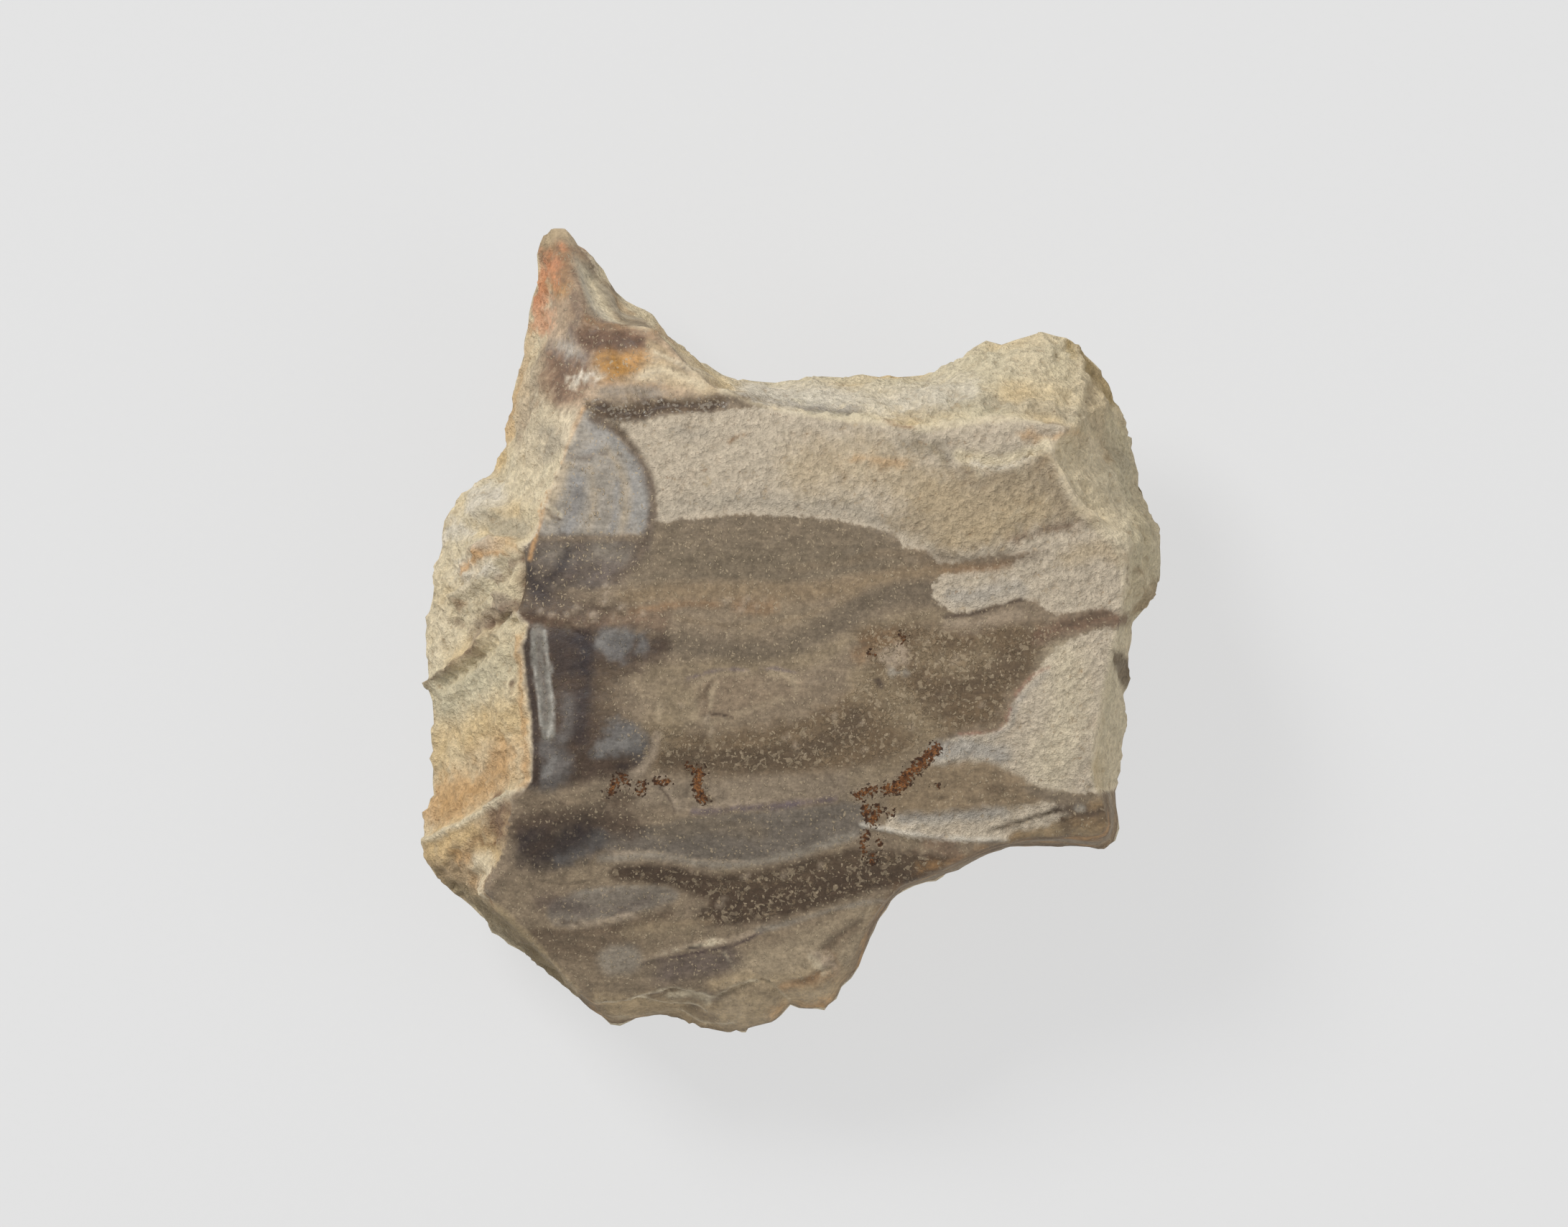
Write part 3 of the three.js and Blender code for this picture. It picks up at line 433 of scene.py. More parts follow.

# The bands and veins of the near slope, and painted light low on it.
NEAR_PAINT = [
    stroke("pink_band", 1.5, [
        (-24, -20.3), (-16, -20), (-10, -20.2), (-4, -19.6), (4, -19.2), (9, -18.6),
    ], 0.8, 0.8),
    stroke("light_band", 1.2, [(8, -18.4), (12, -17.2), (16, -15)], 0.8, 0.8, 0.5),
    stroke("haze", 1.4, [(-33, -21.2), (-28, -21.2), (-24, -20.4)], 0.9, 0.8, 0.8),
    stroke("smoke", 0.8, [(-22, -21), (-20, -20.6)], 0.6, 0.7, 0.6),
    stroke("deep_olive", 0.6, [(-10.6, -20.6), (-9.8, -21.2)], 0.4, 0.5, 0.9),
    stroke("rose", 0.35, [(-14, -22), (-8, -21.4), (-3, -21.2)], 0.5, 0.4, 0.6),
    stroke("rose", 0.3, [(-16.2, -18), (-15, -20), (-14.2, -22)], 0.3, 1.0, 0.6),
    stroke("umber", 0.1, [(-16, -19.4), (-15, -20.8), (-14.2, -22.4)], 0.15, 0.5, 0.7),
    stroke("smoke", 0.7, [(-22, -19.6), (-21, -20.8), (-19.4, -20.6)], 0.7, 1.4, 0.5),
    patch("slate", [
        (-14, -23.6), (-8, -22.6), (-2, -22.2), (4, -21.5), (9, -21.4), (9.5, -24.5),
        (6, -26.3), (2, -27.3), (-4, -28.4), (-8, -28.8), (-12, -28.4), (-16, -27.6),
        (-20, -27.2), (-24, -27), (-24, -25), (-18, -24.4),
    ], 0.5, 0.4),
    stroke("lens", 1, [(-16, -24.8), (-10, -24), (-4, -24.6)], 1.2, 0.8, 0.6),
    stroke("mauve", 0.25, [(-12, -22.4), (-7, -22), (-2, -21.7), (3, -21.1), (5.5, -20.8)], 0.4, 0.35, 0.8),
    stroke("slate_edge", 0.45, [
        (-23.4, -28.2), (-20, -27.9), (-16, -27.8), (-10, -29), (-5, -28.8), (0, -27.8),
        (5, -26.2), (8, -25.2),
    ], 0.5, 0.3, 0.8),
    stroke("rose", 0.12, [(-22, -27.6), (-17, -27.3), (-12, -28.3), (-6, -28.6)], 0.2, 0.4, 0.7),
    stroke("umber", 1.7, [(-33.4, -24.4), (-29, -23.6), (-24, -23.6), (-20, -24.2)], 1.4, 1.2, 0.85),
    patch("ink", [
        (-33.6, -25.8), (-31.4, -24.6), (-28, -24.2), (-25.4, -23.8), (-23.8, -24.8),
        (-23.4, -26.8), (-25.4, -28.4), (-29, -29.6), (-32.6, -29.4), (-34, -27.6),
    ], 1.5, 1.4, 0.9),
    stroke("umber", 0.8, [(-32, -27.6), (-30, -26), (-29.4, -24.4)], 0.9, 0.8, 0.6),
    stroke("blue", 0.8, [(-28.6, -28.4), (-26, -27.6), (-23.6, -25.6)], 0.9, 0.9, 0.6),
    patch("deep_smoke", DARK_BAND, 0.5, 0.6),
    stroke("deep_olive", 1, [(-6, -31), (2, -29.6), (9, -28.2), (15, -28.6)], 0.9, 0.8, 0.6),
    stroke("haze", 0.9, [(-33, -31.2), (-28, -30.9), (-24, -30)], 0.8, 1.3, 0.5),
    patch("lilac", [
        (-30, -34.2), (-27, -32.6), (-22, -31.8), (-17, -31.7), (-14, -32.3), (-15, -33.8),
        (-19, -35), (-24, -36), (-29, -36.4),
    ], 0.5, 0.4),
    stroke("slate_edge", 0.15, [(-26, -32.5), (-20, -31.7), (-15, -31.9)], 0.25, 0.2, 0.8),
    stroke("violet", 1, [(-30.6, -33.6), (-27.6, -34)], 0.8, 0.8, 0.55),
    stroke("rose", 0.35, [(-27, -36.7), (-23, -36), (-19.5, -35.2)], 0.4, 0.7, 0.8),
    stroke("umber", 0.15, [(-28, -36), (-26.6, -36.2), (-25.8, -37)], 0.2, 0.8, 0.7),
    stroke("violet_grey", 0.5, [(-26, -34.6), (-21, -34.4), (-17, -33)], 0.7, 0.9, 0.5),
    stroke("smoke", 0.5, [(-32, -37.6), (-26, -37.6), (-20, -36.6), (-15, -35.2)], 0.5, 0.4, 0.8),
    stroke("tan", 0.4, [(-19, -36.9), (-14, -36.3), (-10, -36)], 0.5, 0.4, 0.7),
    patch("haze", [
        (-32, -38.6), (-20, -37.8), (-12, -37.3), (-4, -36.8), (2, -35.4), (8, -33.6),
        (12, -32.5), (15, -31.8), (12, -34.5), (10, -38), (8.5, -42), (4, -46), (-2, -48.4),
        (-10, -49.5), (-20, -48.4), (-26, -46),
    ], 0.7, 0.5),
    stroke("smoke", 1.5, [(-31, -38.8), (-26, -39.4), (-20, -38.9)], 1.3, 0.9, 0.6),
    stroke("light_band", 0.9, [(-20, -37.4), (-16, -37), (-12, -36.8)], 0.8, 0.6, 0.6),
    # A paler patch low on the near slope, where the light only grazes: painted light.
    patch("chalk_shade", [
        (-6.6, -41), (-2, -39), (4, -36.4), (10, -34), (9.6, -38), (8, -42), (5, -46),
        (-1, -46.6), (-7, -48.4), (-9, -46),
    ], 1.4, 0.8, 0.8),
    stroke("edge_glass", 1.4, [(-6, -45.4), (-2, -44.4), (2, -43.2)], 1.2, 1.0, 0.6),
    stroke("violet_grey", 1.6, [(-16, -42.2), (-12, -41.6), (-8, -40.8)], 1.3, 0.8, 0.8),
    stroke("rose", 0.4, [(-17.8, -40.8), (-14, -39.5), (-8, -38.5), (-4, -37.4)], 0.5, 0.7, 0.6),
    stroke("violet", 0.16, [(-18.6, -41.4), (-13, -40.2), (-7, -39), (-3.5, -37.3)], 0.25, 0.2, 1.0),
    stroke("cream", 0.12, [(-17.6, -40.6), (-13, -39.3), (-8, -38.4)], 0.2, 0.6, 0.6),
    stroke("ink", 0.14, [(-13.6, -39.6), (-12.4, -39.3), (-11, -39.1)], 0.2, 0.3, 0.9),
    stroke("slate_edge", 0.25, [(-4, -37.2), (2, -35.6), (8, -33.9), (13, -33.4)], 0.35, 0.3, 0.8),
    stroke("slate_edge", 1.8, [(-22, -41), (-20.2, -40.8)], 0.8, 0.3, 0.75),
    stroke("lens", 1.1, [(-21.4, -44.4), (-18, -43.6), (-17.2, -41.6)], 1, 0.4, 0.6),
    stroke("smoke", 0.8, [(4.4, -39.6), (6, -38.2), (8, -36.6)], 1.1, 0.7, 0.8),
    stroke("light_brown", 0.5, [(-1, -44.4), (1.6, -43.8), (3.6, -42.6)], 0.6, 0.6, 0.8),
    stroke("edge_glass", 1.4, [
        (-24, -46.6), (-18, -47.4), (-12, -48.2), (-6, -48.2), (-1, -46.4), (3, -45.6), (7, -43),
    ], 1, 0.8, 0.8),
    stroke("light_brown", 0.6, [(3, -43.6), (5.6, -42.4), (5, -40.6)], 0.6, 0.7, 0.5),
    stroke("ochre", 0.5, [(1.5, -46.6), (4.6, -46.4), (7.4, -43.6)], 0.8, 1.0, 0.35),
    stroke("edge_glass", 1.2, [(-19, -46.6), (-14, -46.2), (-9, -47.4)], 0.9, 0.7, 0.7),
    stroke("rose", 0.5, [(2.4, -39.6), (4, -40.6), (5.4, -42)], 0.6, 1.2, 0.6),
    stroke("edge_glass", 0.5, [(8.6, -41.6), (9.6, -38), (11, -35)], 0.6, 0.5, 0.6),
]

# The horn and the pale corner below it.
HORN_PAINT = [
    patch("horn", [
        (-33, 30), (-31, 36), (-29.5, 41), (-30, 48), (-27.4, 48.6), (-25.4, 44), (-24.6, 38.4),
        (-16.6, 37), (-12.5, 32.6), (-9, 29.8), (-14, 28.6), (-24, 28.6), (-26, 26), (-28, 23),
        (-32, 20), (-34.6, 24),
    ], 0.7, 0.6),
    patch("cream", [
        (-34.4, 22), (-32, 27), (-31.4, 29.6), (-29, 27.8), (-26.4, 27.4), (-27.6, 23.4),
        (-29, 20), (-31, 15.6), (-36, 18),
    ], 0.9, 0.8, 0.8),
    stroke("chalk_grey", 0.8, [(-30, 24.4), (-29, 23.4), (-30.4, 22)], 1.1, 1, 0.6),
    stroke("light_brown", 1.2, [(-28.4, 47), (-28.2, 44), (-27.6, 41.6), (-26.6, 39.4)], 1.2, 0.8, 0.7),
    stroke("chestnut", 0.9, [(-28.4, 47.4), (-28.6, 45), (-28.2, 43)], 0.9, 1.0, 0.7),
    stroke("violet_grey", 0.9, [(-26.8, 41), (-26, 38.6), (-27.4, 36.8)], 1, 0.9, 0.6),
    patch("chestnut", [
        (-30.6, 34.6), (-28.6, 35.2), (-25.4, 34.8), (-24, 33), (-24.2, 30.4), (-26, 28.6),
        (-28.6, 27.6), (-29.8, 29.8),
    ], 1.3, 2.0, 0.8),
    stroke("cocoa", 0.8, [(-29.2, 33), (-28.2, 31.2), (-28.8, 28.8)], 1.1, 1.6, 0.5),
    stroke("arc_halo", 1.1, [(-28.8, 36), (-27, 35), (-25.8, 34.2)], 1.1, 1.6, 0.5),
    stroke("white", 0.3, [(-28.4, 35.4), (-26.6, 34.6)], 0.8, 1.2, 0.4),
    patch("chestnut", [
        (-26.6, 37.2), (-23, 37.9), (-19.5, 37.5), (-16.4, 36), (-17.4, 34.6), (-20, 34),
        (-24.8, 34.2),
    ], 1.1, 0.9, 0.95),
    stroke("cocoa", 1.0, [(-25, 36), (-22.4, 36.1), (-19.4, 35.6)], 0.9, 0.8, 0.95),
    stroke("light_brown", 0.5, [(-25, 38.2), (-22.4, 38.1), (-19.4, 37.7), (-16.8, 36.9)], 0.6, 0.3, 0.8),
    patch("edge_glass", [(-17.6, 36), (-15.6, 35), (-14.6, 33.8), (-17.4, 34)], 0.6, 0.4, 0.8),
    patch("chalk_warm", [
        (-19.4, 33.8), (-17, 34), (-14.4, 33.2), (-11.6, 31.6), (-9, 30.2), (-9.6, 29),
        (-14, 29.9), (-19, 30.6), (-21, 30.8), (-19.2, 32),
    ], 0.9, 0.4, 0.9),
    patch("amber", [
        (-24, 34.2), (-21, 34.4), (-18.4, 34), (-18.2, 32.6), (-20, 31.2), (-22.4, 30.6),
        (-23.8, 31.8),
    ], 1.0, 0.6),
    stroke("ochre", 0.8, [(-19.8, 33.8), (-18, 33.6)], 0.9, 0.5, 0.5),
    stroke("cream", 0.14, [(-16.8, 34.4), (-14.6, 33.5), (-12.6, 32.5), (-9.6, 30.8)], 0.3, 0.2, 0.8),
    stroke("cream", 0.6, [(-18, 31.4), (-16, 32.2), (-14, 31.6), (-11, 30.4)], 0.7, 0.4, 0.5),
    stroke("umber", 0.3, [(-17.6, 32.5), (-16.6, 32.3)], 0.4, 1, 0.5),
    stroke("umber", 0.25, [(-14.4, 32.4), (-13.2, 32.3)], 0.4, 1, 0.5),
    stroke("lilac", 0.8, [(-23, 29.5), (-19, 29.6), (-16.4, 29)], 0.7, 0.7, 0.8),
    stroke("light_brown", 0.25, [(-23.6, 30.4), (-20, 30.7), (-15, 30)], 0.4, 0.4, 0.5),
    stroke("chalk", 0.5, [(-27, 30.4), (-25.6, 31), (-23.8, 31.7)], 0.5, 1.6, 0.8),
    stroke("white", 0.3, [(-26.4, 30.9), (-24.4, 31.6)], 0.4, 1.2, 0.6),
    stroke("crust_yellow", 1, [
        (-32.6, 44), (-33.4, 36), (-34.4, 30), (-35.4, 25), (-36.4, 21),
    ], 0.9, 0.7, 0.9),
    stroke("orange", 1.1, [(-31.2, 44.8), (-31.6, 42.8), (-32.2, 40.4)], 0.9, 0.9, 0.9),
    stroke("ochre", 0.8, [(-30.6, 43.4), (-29.4, 42.6), (-28, 42)], 0.8, 0.9, 0.7),
    stroke("orange", 0.3, [(-30.2, 44.6), (-29, 43.4)], 0.5, 0.6, 0.8),
    patch("cream", [(-32.4, 40), (-30.4, 40.4), (-29.6, 38.6), (-31, 35.6), (-32.4, 35.4)], 0.8, 0.9, 0.6),
    stroke("ochre", 0.6, [(-33, 35), (-33.7, 31), (-34.6, 27), (-35.6, 24)], 0.8, 0.9, 0.5),
    stroke("violet_grey", 0.2, [
        (-27.6, 40.4), (-29.1, 36.6), (-30.4, 35), (-31.6, 33.4), (-31.9, 31.1), (-31.9, 29.2),
        (-33, 25.9), (-34.2, 23.6),
    ], 0.45, 0.3, 0.6),
    stroke("light_brown", 1.6, [(-30.6, 47.6), (-29, 46), (-27.6, 45.4), (-28.8, 44)], 1.2, 1.0, 0.8),
    stroke("chalk_shade", 1.0, [(-30, 48.8), (-28.6, 49.2), (-27.2, 48.4)], 0.9, 0.6, 0.9),
    stroke("brown", 0.5, [(-31, 47.6), (-30.8, 46)], 0.6, 0.6, 0.5),
    patch("hollow_green", [
        (-27, 46.4), (-24.4, 44.8), (-21.5, 42.4), (-19.5, 40.8), (-16, 37.9), (-20, 38.3),
        (-24.2, 38.9), (-25.4, 40.6), (-26.4, 43.4),
    ], 0.8, 0.4),
    stroke("crust", 1.2, [(-23.8, 43), (-22.6, 41), (-20.4, 39.8), (-17.6, 38.2)], 0.7, 0.7, 0.8),
    stroke("chalk_grey", 0.4, [(-24.8, 43), (-23.8, 41), (-22.8, 40)], 0.8, 0.9, 0.5),
    stroke("brown", 0.3, [
        (-28, 47), (-27.2, 44.8), (-26.3, 42.6), (-25.2, 40.2), (-23.4, 38.4),
    ], 0.8, 0.3, 0.6),
    stroke("horn", 0.8, [(-27.8, 40.6), (-28.6, 38.2), (-29.4, 36.6)], 0.9, 0.9, 0.6),
    stroke("brown", 0.12, [
        (-26.9, 44.6), (-26, 42.4), (-25.4, 40.4), (-25, 38.8), (-23, 38.4), (-19.6, 38),
    ], 0.2, 0.1, 0.7),
    stroke("cream", 0.5, [(-24.4, 42.6), (-23, 40.6), (-20.6, 39.4)], 0.9, 0.6, 0.5),
    stroke("orange", 0.25, [(-28.3, 47.4), (-28, 46.8)], 0.3, 0.2, 0.9),
    stroke("orange", 0.22, [(-25.7, 47.7), (-24.6, 46.8), (-23.9, 46)], 0.4, 0.3, 0.9),
    patch("smoke", [
        (-25.4, 28.4), (-22, 27.9), (-18, 28.5), (-14, 28.6), (-9, 28.8), (-8.4, 27.9),
        (-12, 26.9), (-16, 26.4), (-20, 25.8), (-23.6, 26.4),
    ], 0.5, 1.1, 0.85),
    stroke("umber", 0.45, DRUSE, 0.6, 1.2, 0.85),
    stroke("smoke", 0.35, [(-9.6, 28.6), (-5, 28.7), (-2, 28.2), (2, 27.6), (7, 27)], 0.5, 0.5, 0.8),
    stroke("umber", 0.35, [(0.5, 27.7), (4, 27.4), (8.5, 26.9)], 0.45, 0.6, 0.8),
]

# The flanks, which the crust covers.
FLANK_PAINT = [
    stroke("chalk_grey", 0.8, [(14, 26.6), (20, 27.6), (26, 28), (31, 27.4), (34.4, 26.4)], 0.9, 0.7, 0.4),
    stroke("light_brown", 0.18, [(11.6, 25.9), (13.4, 25.2), (15, 25)], 0.25, 0.3, 0.8),
    stroke("crust_green", 2.0, [(12, 31), (18, 30.6), (26, 33)], 2, 1.4, 0.7),
    stroke("white", 1.6, [(-5, 29.8), (4, 28.8), (14, 28.6), (22, 30)], 1.4, 1.2, 0.75),
    stroke("cream", 2.0, [(10, 30), (20, 31.6), (30, 33.6)], 1.6, 1.2, 0.5),
    stroke("mustard", 1.1, [(35.4, 35.6), (36.8, 33), (38.8, 30.8), (40.4, 29)], 0.6, 0.5, 0.9),
    stroke("chalk_grey", 0.8, [(36.4, 26.4), (38.8, 24), (41.4, 20.6)], 0.7, 0.6, 0.25),
    stroke("ochre", 0.6, [(35, 24.4), (37, 22.8), (39, 21.2)], 0.7, 0.8, 0.6),
    stroke("crust_green", 1.4, [(39, 18), (42.4, 14), (44, 9)], 1.6, 1.2, 0.5),
    stroke("earth", 0.6, [(45.4, 6), (44.4, 3.8), (43, 2.4)], 0.6, 0.6, 0.7),
    stroke("earth", 0.7, [(41.6, -2.6), (41.6, -4.6), (41.8, -6.6)], 0.4, 0.5, 0.8),
    stroke("earth", 0.35, [(42.6, 7.6), (43.4, 6), (43.6, 4.4)], 0.35, 0.4, 0.7),
    stroke("white", 0.3, [(-39.4, 17), (-37.4, 16.6), (-35.2, 18)], 0.9, 0.6, 0.5),
    stroke("white", 1.5, [(-38.6, 15.2), (-36.8, 16.6)], 1.2, 0.7, 0.8),
    stroke("hollow_green", 1.3, [(-36.6, 13.2), (-33.6, 12.8)], 0.8, 0.6, 0.9),
    stroke("crust_green", 1.5, [(-42, 12), (-40, 9), (-41, 3)], 1.6, 1.2, 0.3),
    stroke("cream", 1.8, [(-43, 14), (-40.6, 10.6), (-43, 8)], 1.4, 1.2, 0.6),
    stroke("white", 1.4, [(-40.4, 6.8), (-38.6, 8), (-37, 10)], 1, 0.9, 0.8),
    stroke("cream", 1.6, [(-44.4, 2), (-42.6, -1), (-44.6, -4)], 1.2, 1.2, 0.7),
    stroke("crust_yellow", 1.2, [(-41, -3.6), (-38.6, -0.6), (-36.8, 2)], 1, 1.2, 0.5),
    stroke("ochre", 0.9, [(-38.4, 7.4), (-37.6, 9.4), (-36.2, 10.2), (-34.6, 10.4)], 0.9, 0.9, 0.55),
    stroke("light_brown", 0.5, [(-39.2, 9.6), (-38.6, 8.8)], 0.5, 0.8, 0.6),
    stroke("tan", 0.3, [(-41.4, 4), (-39.4, 4.9), (-37.6, 6)], 0.5, 0.5, 0.5),
    stroke("cream", 1.6, [(-40.6, 5.6), (-38.6, 6.8), (-36.4, 7.6), (-35.2, 8.6)], 0.9, 1.2, 0.9),
    stroke("white", 0.7, [(-40, 6.4), (-38, 7.2), (-36.4, 7.8)], 0.7, 1.2, 0.7),
    stroke("cream", 1.8, [(-41.6, 1.4), (-40, 2.6), (-38.6, 3.4)], 1.2, 1.4, 0.6),
    stroke("white", 0.9, [(-43.6, 11.4), (-42, 12.6), (-40.4, 12.4)], 0.9, 1.2, 0.7),
    patch("rose", [(-37, 2.8), (-36.6, 4.2), (-34.8, 4.4), (-34, 3.2), (-35.4, 2.2)], 0.5, 0.5, 0.8),
    stroke("moss", 0.6, [(-38.6, 3.4), (-37.8, 2.6)], 0.8, 0.8, 0.4),
    stroke("brown", 0.5, [(-41.6, 1.2), (-41, 0.6)], 0.4, 0.6, 0.6),
    stroke("umber", 0.35, [(-37.6, 1.2), (-37.2, 0.8)], 0.4, 0.5, 0.6),
    stroke("brown", 0.4, [(-39.8, -2.6), (-39.2, -3.2)], 0.4, 0.5, 0.6),
    stroke("chalk_warm", 0.6, [(-38.6, 6.4), (-41, 5.2)], 1.0, 1, 0.3),
    stroke("ochre", 0.35, [(-41, 7), (-39, 8.6), (-37, 9.4), (-34.6, 9.6)], 0.4, 0.8, 0.7),
    stroke("brown", 0.25, [(-36.6, 6.2), (-35, 7.4), (-34, 8.8)], 0.3, 0.8, 0.6),
    stroke("brown", 0.35, [
        (-33.3, 9.6), (-33.1, 8), (-33.2, 6.2), (-33.4, 4.4), (-34.2, 2.6),
    ], 0.4, 0.6, 0.7),
    stroke("rust", 0.12, [(-33.2, 6.2), (-33.4, 4.4), (-34.2, 2.6), (-36, 0.8), (-37, -0.5)], 0.3, 0.3, 0.7),
    stroke("rose", 1, [(-35.8, 2.8), (-37.6, 1.4), (-39, -1)], 0.8, 1, 0.8),
    stroke("brown", 0.45, [(-34.8, 3), (-36.2, 1.2), (-37.4, 0.6)], 0.5, 0.8, 0.7),
    stroke("brown", 0.3, [
        (-38.4, -1.6), (-40.6, -3.6), (-42, -4.8), (-44, -6), (-45.7, -7.2),
    ], 0.35, 0.4, 0.75),
    stroke("light_brown", 0.5, [(-40.8, 3.4), (-41, 2.4)], 0.4, 0.5, 0.7),
    stroke("crust_green", 2.2, [(-43, -9), (-39, -6), (-35.6, -4)], 1.6, 1.5, 0.55),
    stroke("crust_yellow", 2.6, [(-44, -15), (-39, -13), (-35, -11)], 2, 1.6, 0.7),
    stroke("ochre", 3, [(-43.6, -22), (-39, -19), (-36, -16)], 2, 1.5, 0.65),
    stroke("amber", 0.8, [(-42.6, -22), (-38.6, -19.4), (-36.4, -16.6)], 1.4, 2.0, 0.4),
    stroke("crust", 0.9, [(-42, -14.6), (-39, -17.4), (-37.6, -14)], 1.2, 2.0, 0.6),
    stroke("ochre", 0.35, [
        (-33.5, -1), (-33.3, -5), (-32.8, -10), (-32.5, -15), (-32.6, -19),
    ], 0.5, 0.3, 0.7),
    stroke("brown", 0.2, [(-34.2, -6.4), (-34.1, -7.8)], 0.3, 0.5, 0.8),
    patch("crumb", [
        (-34.6, -20.8), (-40, -24), (-45.8, -26.8), (-46.4, -29), (-40, -34), (-36, -35),
        (-34.4, -30), (-34.2, -24),
    ], 0.5, 0.5),
    stroke("crust_yellow", 1.6, [(-44, -27.4), (-39.6, -25.4), (-37, -28)], 1.2, 1.6, 0.7),
    stroke("ochre", 0.8, [(-41, -27.6), (-38.6, -29), (-38, -31.6)], 0.9, 1.6, 0.5),
    stroke("brown", 1, [(-35.2, -21.4), (-36.4, -23.2), (-35.6, -25.4)], 0.8, 1.1, 0.85),
    stroke("light_brown", 0.8, [(-37.6, -25), (-39.4, -26.4)], 0.8, 1.3, 0.6),
    stroke("rust", 0.25, [(-34.7, -22.6), (-35, -24.4), (-36.4, -26.2), (-38.4, -26.6)], 0.4, 0.7, 0.7),
    stroke("cream", 1.2, [(-38.2, -28.4), (-37.4, -30.6), (-37, -32.4)], 0.6, 0.7, 0.8),
    stroke("crust_olive", 0.8, [(-35.2, -28), (-35.4, -31)], 0.7, 0.7, 0.8),
    stroke("cream", 0.35, [(-34, -20.4), (-38, -22.7), (-42, -25.1), (-45.6, -26.4)], 0.35, 0.3, 0.9),
]

